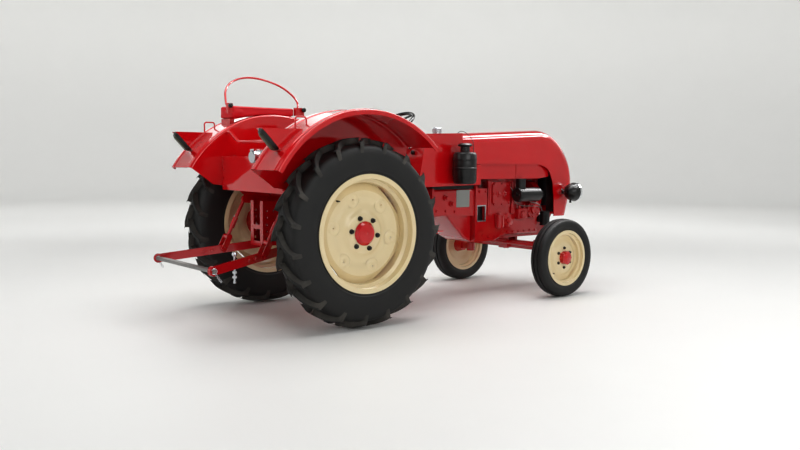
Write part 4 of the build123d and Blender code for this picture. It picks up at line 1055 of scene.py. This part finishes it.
# %% [markdown]
# ## Starter and baffles
# The starter with the switch on its top lies on the left of the bell housing, and sheet baffles close off the
# cylinders. The starter's barrel could be a plain cylinder, but its ends taper, so it is a profile again.

# %% Starter and baffles
STARTER = [(0.0, 0.0), (0.0, 0.030), (0.010, 0.046), (0.165, 0.046), (0.172, 0.040), (0.190, 0.036),
           (0.190, 0.0)]
STARTER_SWITCH = [(0.020, 0.0), (0.020, 0.024), (0.120, 0.024), (0.124, 0.018), (0.124, 0.0)]
bm = bmesh.new()
turned(bm, STARTER, at(1.576, 0.235, 0.640), FORE, 48)
turned(bm, STARTER_SWITCH, at(1.576, 0.235, 0.704), FORE, 32)
new_piece("starter_motor", bm, (black_enamel,), "chassis")
bm = bmesh.new()
for y in (0.150, -0.052):
    block(bm, at(1.800, y, 0.862), (0.700, 0.004, 0.150))
new_piece("cylinder_baffles", bm, (red_enamel,), "chassis")

# %% [markdown]
# ## Painted shade behind the grille and under the cowl
# A black screen stands behind the grille and paints the shade inside the bonnet, so that nobody looks through
# the bars into an empty bonnet. Rubber strips carry the cowl on the gearbox, and their dark colour paints the
# shadow line under the cowl's edge. The screen takes its place and its height from the grille's own box,
# because typed numbers would be wrong as soon as the grille changes.

# %% Painted shade: grille screen and cowl strips
grille_low, grille_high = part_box("grille")
# A black screen behind the grille paints the shade inside the bonnet.
bm = bmesh.new()
bmesh.ops.create_grid(bm, x_segments=1, y_segments=1, size=0.5,
                      matrix=Matrix.Rotation(math.radians(90), 4, "Y"))
bmesh.ops.scale(bm, verts=bm.verts, vec=(1, 0.240, grille_high[2] - grille_low[2] + 0.020))
bmesh.ops.translate(bm, verts=bm.verts, vec=(grille_low[0] - 0.006, 0, (grille_low[2] + grille_high[2]) / 2))
push_out(bm, bm.faces[:], (-0.002, 0, 0))
new_piece("grille_painted_shade", bm, (black_enamel,), "hood")
# Dark rubber strips fill the gap under the cowl and paint the shadow line along its lower edge.
bm = bmesh.new()
for y in (0.160, -0.160):
    block(bm, at(1.220, y, 0.868), (0.430, 0.030, 0.030))
new_piece("cowl_strips_painted_shadow", bm, (tyre_rubber,), "chassis")

# %% [markdown]
# ## Air cleaner's bands
# Two clamp bands with a bolt each grip the air cleaner's drum, and a ring of small rivets stands round its
# cap. A band could be a tube round the drum, but it is flat on the real part, so it is a thin turned strip.

# %% Bands and rivets
CLEANER_X, CLEANER_Y = 1.170, -0.354
CLAMP_BAND = [(-0.008, 0.0875), (-0.008, 0.0893), (0.008, 0.0893), (0.008, 0.0875)]
CAP_RIVETS = 16
bm = bmesh.new()
for height in (0.944, 1.078):
    turned(bm, CLAMP_BAND, at(CLEANER_X, CLEANER_Y, height), UP, 72)
for height in (0.944, 1.078):
    bolt(bm, at(CLEANER_X - 0.060, CLEANER_Y - 0.066, height), (-0.67, -0.74, 0), 0.009)
for index in range(CAP_RIVETS):
    turn = Matrix.Rotation(math.tau * index / CAP_RIVETS, 3, "Z")
    place = at(CLEANER_X, CLEANER_Y, 1.190) + turn @ Vector((0.0535, 0, 0))
    stack(bm, place, turn @ Vector((1, 0, 0.4)), -0.004, 0.0015, 0.0045, 0.003, 8)
new_piece("air_cleaner_bands", bm, (black_enamel,), "chassis")

# %% [markdown]
# ## Bolts at the rear
# The axle's rear cover, its trumpets, the gearbox's flanks and the steering box are bolted castings. Their
# bolts could be instances of one object, but one mesh made by the helpers above is simpler to export.

# %% Rear castings' bolts
PTO_Z = 0.720
PTO_COLLAR = [(-0.002, 0.078), (0.011, 0.078), (0.014, 0.074), (0.014, 0.030), (-0.002, 0.028)]
bm = bmesh.new()
turned(bm, PTO_COLLAR, at(-0.180, 0, PTO_Z), AFT, 48)
bolt_circle(bm, at(-0.194, 0, PTO_Z), AFT, 0.060, 6, 0.013)
for y in (-0.118, 0.118):
    bolt_row(bm, at(-0.180, y, 0.500), at(-0.180, y, 0.770), 4, AFT, 0.017)
for side, sign in SIDES:
    bolt_circle(bm, at(0, sign * 0.150, rear_wheels[side].z), (0, sign, 0), 0.127, 10, 0.017)
    bolt_circle(bm, at(0, sign * 0.505, rear_wheels[side].z), (0, -sign, 0), 0.098, 8, 0.015, start=20)
bolt_circle(bm, at(1.150, 0.300, 0.640), LEFT, 0.048, 4, 0.013, start=45)
bolt_row(bm, at(1.100, 0.300, 0.735), at(1.200, 0.300, 0.735), 3, LEFT, 0.013)
for x, z in ((1.130, 0.789), (1.193, 0.741)):
    bolt(bm, at(x, -0.196, z), RIGHT, 0.024)
    bolt(bm, at(x, 0.196, z), LEFT, 0.024)
for _, sign in SIDES:
    bolt_row(bm, at(0.600, sign * 0.150, 0.640), at(0.940, sign * 0.150, 0.800), 3, (0, sign, 0), 0.015)
    bolt_row(bm, at(1.040, sign * 0.182, 0.690), at(1.230, sign * 0.182, 0.680), 3, (0, sign, 0), 0.015)
new_piece("gearbox_bolts", bm, (red_casting,), "chassis")

# %% [markdown]
# ## Splined shaft and deck bolts
# The power take-off stub is cut to six splines. Its outline is a ring of points on two radii in turn, which
# is pushed out to the stub's length. A cylinder with six cuts would give the same form in more steps. Two
# rows of bolts hold each side of the rear deck.

# %% Splined shaft and deck bolts
SPLINES, SPLINE_STEPS = 6, 8
SPLINE_TOP_R, SPLINE_ROOT_R = 0.01745, 0.0146
pto_low, pto_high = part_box("pto_shaft")
bm = bmesh.new()
outline = []
for index in range(SPLINES * SPLINE_STEPS):
    radius = SPLINE_TOP_R if index % SPLINE_STEPS < SPLINE_STEPS / 2 else SPLINE_ROOT_R
    turn = math.tau * index / (SPLINES * SPLINE_STEPS)
    outline.append(bm.verts.new((pto_low[0], radius * math.cos(turn), PTO_Z + radius * math.sin(turn))))
end_face = bm.faces.new(outline)
push_out(bm, [end_face], (pto_high[0] - pto_low[0], 0, 0))
new_piece("pto_shaft_splined", bm, (rolled_steel,), "chassis", ("pto_shaft",))

bm = bmesh.new()
for _, sign in SIDES:
    bolt_row(bm, at(-0.436, sign * 0.405, 0.885), at(-0.436, sign * 0.405, 1.065), 4, AFT, 0.013)
    bolt_row(bm, at(-0.350, sign * 0.405, 1.095), at(0.020, sign * 0.405, 1.095), 4, UP, 0.013)
new_piece("deck_bolts", bm, (red_enamel,), "chassis")

# %% [markdown]
# ## Linkage fittings
# The drawbar's pins carry linch pins with a spring ring and a short chain. A threaded stud with a knob stands
# through a bracket on the right link. The chains hang at rest, so their rings are set along a short slanted
# line, every other one turned, and no solver is needed.

# %% Linkage fittings
LINK_END = (-0.922, 0.405, 0.410)
LINK_PIVOT = (-0.160, 0.162, 0.502)
STUD_X = -0.730
CHAIN_LINKS = 6
STUD_KNOB = [(0.045, 0.0065), (0.047, 0.014), (0.058, 0.0175), (0.070, 0.0140), (0.075, 0.0)]


def on_link(x, sign):
    """A point on a lower link's middle line."""
    share = (x - LINK_PIVOT[0]) / (LINK_END[0] - LINK_PIVOT[0])
    place = Vector(LINK_PIVOT).lerp(Vector(LINK_END), share)
    return at(place.x, sign * place.y, place.z)


def ring_link(bm, place, facing, radius, wire):
    """A small closed ring of round wire."""
    section = [(wire * math.sin(turn), radius + wire * math.cos(turn))
               for turn in (math.tau * index / 8 for index in range(8))]
    turned(bm, section, place, facing, 24, closed=True)


bm = bmesh.new()
for _, sign in SIDES:
    pin_end = at(LINK_END[0], sign * 0.424, LINK_END[2])
    ring_link(bm, pin_end, (0.25, 1, 0.1), 0.0170, 0.0024)
    for index in range(CHAIN_LINKS):
        drop = pin_end + Vector((0.012 + 0.006 * index, sign * 0.004, -0.022 - 0.0085 * index))
        ring_link(bm, drop, FORE if index % 2 else (0, 1, 0.4), 0.0062, 0.0016)
stud = on_link(STUD_X, -1) + Vector((0, 0.030, 0))
stack(bm, stud, UP, -0.125, 0.058, 0.0065, 0.0065, 16)
turned(bm, STUD_KNOB, stud, UP, 28)
for low in (-0.062, -0.092):
    stack(bm, stud, UP, low, low + 0.014, 0.0135, 0.0135, 6)
stack(bm, stud, UP, -0.122, -0.108, 0.010, 0.008, 16)
new_piece("linkage_pins", bm, (zinc_plate,), "lower_links")
bm = bmesh.new()
block(bm, on_link(STUD_X, -1) + Vector((0, 0.022, 0)), (0.050, 0.044, 0.030))
for _, sign in SIDES:
    for x in (-0.640, -0.585):
        for face in (1, -1):
            bolt(bm, on_link(x, sign) + Vector((0.002 * face, sign * 0.0075 * face, 0)),
                 (0.30 * face, sign * 0.95 * face, 0), 0.019)
edges = [edge for edge in bm.edges if edge.calc_length() > 0.028]
bmesh.ops.bevel(bm, geom=edges, affect="EDGES", offset=0.003, segments=2, profile=0.5, material=-1)
new_piece("linkage_brackets", bm, (red_casting,), "lower_links")

# %% [markdown]
# ## Trailer socket
# A silver socket for a trailer's lights stands on a small plate at the right fender's inner wall, with a
# round lid on a hinge. Shell and lid are one profile, since the lid stays shut, and the hinge is a short pin.

# %% Trailer socket
SOCKET = at(-0.585, -0.376, 1.092)
SOCKET_PLATE = (0.096, 0.096)
SOCKET_SHELL = [(0.0, 0.043), (0.006, 0.043), (0.008, 0.035), (0.040, 0.035), (0.042, 0.039), (0.054, 0.039),
                (0.059, 0.034), (0.060, 0.0)]
LID_HINGE = [(-0.022, 0.0), (-0.022, 0.007), (0.022, 0.007), (0.022, 0.0)]
bm = bmesh.new()
raised_panel(bm, SOCKET + Vector((0.002, 0, 0)), RIGHT, UP, SOCKET_PLATE, 0.004, 0.010)
new_piece("socket_plate", bm, (red_enamel,), "chassis")
bm = bmesh.new()
turned(bm, SOCKET_SHELL, SOCKET, AFT, 56)
turned(bm, LID_HINGE, SOCKET + Vector((-0.048, 0, 0.041)), LEFT, 16)
for y, z in ((-0.036, -0.036), (0.036, -0.036), (-0.036, 0.036), (0.036, 0.036)):
    bolt(bm, SOCKET + Vector((-0.002, y, z)), AFT, 0.009)
new_piece("trailer_socket", bm, (zinc_plate,), "chassis")

# %% [markdown]
# ## Fuel cap and footplates
# The fuel cap has a knurled rim of small rods. The footplates are chequer plate: a field of short raised
# ribs, turned by turns to the left and to the right. A bump pattern would leave the plate flat in a low view,
# so each rib is a six-sided cone, which stays cheap.

# %% Fuel cap and footplates
CAP_X, CAP_TOP = 1.197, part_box("fuel_cap")[1][2]
KNURLS, KNURL_R = 40, 0.0016
CAP_BUTTON = [(-0.001, 0.0), (0.001, 0.006), (0.001, 0.010), (-0.001, 0.012)]
bm = bmesh.new()
for index in range(KNURLS):
    turn = Matrix.Rotation(math.tau * index / KNURLS, 4, "Z")
    place = Matrix.Translation(at(CAP_X, 0, 1.308)) @ turn @ Matrix.Translation((0.0358, 0, 0))
    bmesh.ops.create_cone(bm, cap_ends=True, segments=8, radius1=KNURL_R, radius2=KNURL_R, depth=0.022,
                          matrix=place)
turned(bm, CAP_BUTTON, at(CAP_X, 0, CAP_TOP), UP, 32)
new_piece("fuel_cap_knurl", bm, (zinc_plate,), "chassis")

CHEQUER_PITCH, CHEQUER_ROWS, CHEQUER_COLUMNS = 0.030, 19, 8
CHEQUER_RIB = (0.024, 0.0072, 0.0022, 1)
bm = bmesh.new()
for _, sign in SIDES:
    for row in range(CHEQUER_ROWS):
        for column in range(CHEQUER_COLUMNS):
            place = at(0.330 + CHEQUER_PITCH * row, sign * (0.178 + CHEQUER_PITCH * column), 0.5665)
            turn = math.radians(45 if (row + column) % 2 else -45)
            bmesh.ops.create_cone(bm, cap_ends=True, segments=6, radius1=0.5, radius2=0.36, depth=1.0,
                                  matrix=Matrix.Translation(place) @ Matrix.Rotation(turn, 4, "Z")
                                  @ Matrix.Diagonal(CHEQUER_RIB))
new_piece("footplate_chequer", bm, (red_enamel,), "chassis")

# %% [markdown]
# ## The studio
# A pale floor runs back and curves up into a pale wall, as in a photographer's cove, so no horizon line
# shows. A plane with a bent edge would do for one camera. The cove is spun all round, so that the tractor can
# be seen from every side. The paint drifts between two whites, because real floors are never quite even.

# %% Floor and wall
FLOOR_R, BEND_R, WALL_TOP, BEND_STEPS = 16.0, 5.0, 14.0, 12


def studio_cove():
    """A large, shallow bowl: flat floor, then a curved rise all round."""
    mesh = bpy.data.meshes.new("studio_cove")
    bm = bmesh.new()
    corner = bm.verts.new((0.0, 0.0, 0.0))
    edge = bm.verts.new((FLOOR_R, 0.0, 0.0))
    outline = [corner, edge]
    for step in range(1, BEND_STEPS + 1):
        turn = math.radians(90 * step / BEND_STEPS)
        reach, rise = BEND_R * math.sin(turn), BEND_R - BEND_R * math.cos(turn)
        outline.append(bm.verts.new((FLOOR_R + reach, 0.0, rise)))
    outline.append(bm.verts.new((FLOOR_R + BEND_R, 0.0, WALL_TOP)))
    edges = [bm.edges.new(pair) for pair in zip(outline, outline[1:])]
    bmesh.ops.spin(bm, geom=outline + edges, cent=(0, 0, 0), axis=UP, angle=math.tau, steps=96,
                   use_merge=True)
    bmesh.ops.remove_doubles(bm, verts=bm.verts, dist=0.0001)
    bmesh.ops.recalc_face_normals(bm, faces=bm.faces)
    for face in bm.faces:
        face.smooth = True
    bm.to_mesh(mesh)
    bm.free()
    cove = bpy.data.objects.new("studio_cove", mesh)
    bpy.context.scene.collection.objects.link(cove)
    return cove


cove_paint, tree, output = new_material("matt_white_cove_paint")
place = add_node(tree, "ShaderNodeTexCoord").outputs["Object"]
scuffs = add_node(tree, "ShaderNodeTexNoise", {
    "Vector": place, "Scale": 1.3, "Detail": 6.0, "Roughness": 0.6})
tone = add_node(tree, "ShaderNodeMapRange", {
    "Value": scuffs.outputs["Fac"], "To Min": 0.0, "To Max": 1.0})
paint = add_node(tree, "ShaderNodeMix", {
    "Factor": tone.outputs["Result"], "A": linear("#EBEBE9"), "B": linear("#E8E8E6")}, data_type="RGBA")
shader = add_node(tree, "ShaderNodeBsdfPrincipled", {
    "Base Color": paint.outputs["Result"], "Roughness": 0.55})
tree.links.new(shader.outputs["BSDF"], output.inputs["Surface"])
cove = studio_cove()
cove.data.materials.append(cove_paint)
print("cove spans", round(cove.dimensions.x), "m")

# %% [markdown]
# ## Lamps and sky
# A big soft box hangs overhead, and weaker ones stand on all four sides. Glossy paint shows what is round it
# more than what falls on it, so two strips in front of the tractor are there for the highlights along the
# bonnet only: they are left out of the diffuse light. Four broad lamps wash the wall. A sky picture could
# light the scene as well, but lamps with names can be moved one by one.

# %% Lamps and sky
def soft_lamp(name, place, aim, size, power):
    """A rectangular soft box at a place, turned to a point."""
    light = bpy.data.lights.new(name, "AREA")
    light.shape = "RECTANGLE"
    light.size, light.size_y = size
    light.energy = power
    lamp = bpy.data.objects.new(name, light)
    lamp.location = place
    lamp.rotation_euler = (Vector(aim) - Vector(place)).to_track_quat("-Z", "Y").to_euler()
    bpy.context.scene.collection.objects.link(lamp)
    return lamp


soft_lamp("lamp_overhead", (0.0, 0.0, 6.5), (0.0, 0.0, 0.0), (7.0, 5.0), 360)
for name, y, width, power in (("near", -2.5, 0.7, 300), ("far", -0.4, 1.0, 330)):
    strip = soft_lamp(f"lamp_strip_{name}", (4.6, y, 5.0), (4.6, y, 0.0), (7.0, width), power)
    strip.visible_diffuse = False
soft_lamp("lamp_right_side", (-1.0, -8.0, 4.0), (0.0, 0.0, 0.7), (6.0, 3.0), 140)
soft_lamp("lamp_left_side", (1.0, 8.0, 4.0), (0.0, 0.0, 0.7), (6.0, 3.0), 60)
soft_lamp("lamp_front", (9.0, 1.0, 4.0), (0.5, 0.0, 0.8), (5.0, 3.0), 60)
soft_lamp("lamp_behind", (-9.0, 3.0, 4.0), (-0.5, 0.0, 0.8), (5.0, 3.0), 60)
for index, power in enumerate((900, 900, 900, 560)):
    turn = math.radians(51 + 90 * index)
    outward = Vector((math.cos(turn), math.sin(turn), 0))
    soft_lamp(f"lamp_wall_wash_{index}", outward * 7 + Vector((0, 0, 8)),
              outward * 19 + Vector((0, 0, 3)), (12.0, 4.0), power)
world = bpy.data.worlds.new("studio_air")
world.use_nodes = True
world.node_tree.nodes["Background"].inputs["Color"].default_value = linear("#F2F3F5")
world.node_tree.nodes["Background"].inputs["Strength"].default_value = 0.28
bpy.context.scene.world = world
bpy.context.scene.view_settings.view_transform = "Standard"
bpy.context.scene.view_settings.gamma = 0.82
print("lamps:", len(bpy.data.lights))

# %% [markdown]
# ## Camera
# The camera stands behind the tractor and to its right, about a metre above the floor, where the
# photographer's stood. Its place and its three angles were solved from the wheels' outlines in the photo. An
# aim at a point would lose the small roll, so the three axes are worked out from the angles.

# %% Camera
CAMERA_PLACE = Vector((-3.9521, -4.9469, 1.0927))
CAMERA_YAW, CAMERA_PITCH, CAMERA_ROLL = (math.radians(a) for a in (38.787, 4.6048, 0.4444))
sight = Vector((math.sin(CAMERA_YAW) * math.cos(CAMERA_PITCH), math.cos(CAMERA_YAW) * math.cos(CAMERA_PITCH),
                -math.sin(CAMERA_PITCH)))
level = Vector((math.cos(CAMERA_YAW), -math.sin(CAMERA_YAW), 0.0))
upright = level.cross(sight)
across = level * math.cos(CAMERA_ROLL) + upright * math.sin(CAMERA_ROLL)
upward = upright * math.cos(CAMERA_ROLL) - level * math.sin(CAMERA_ROLL)
lens = bpy.data.cameras.new("camera")
lens.lens, lens.sensor_width = 37.52, 36.0
camera = bpy.data.objects.new("camera", lens)
turned_camera = Matrix((across, upward, -sight)).transposed().to_4x4()
camera.matrix_world = Matrix.Translation(CAMERA_PLACE) @ turned_camera
bpy.context.scene.collection.objects.link(camera)
bpy.context.scene.camera = camera
print("camera to tractor's middle:", round((CAMERA_PLACE - middle("gearbox")).length, 2), "m")
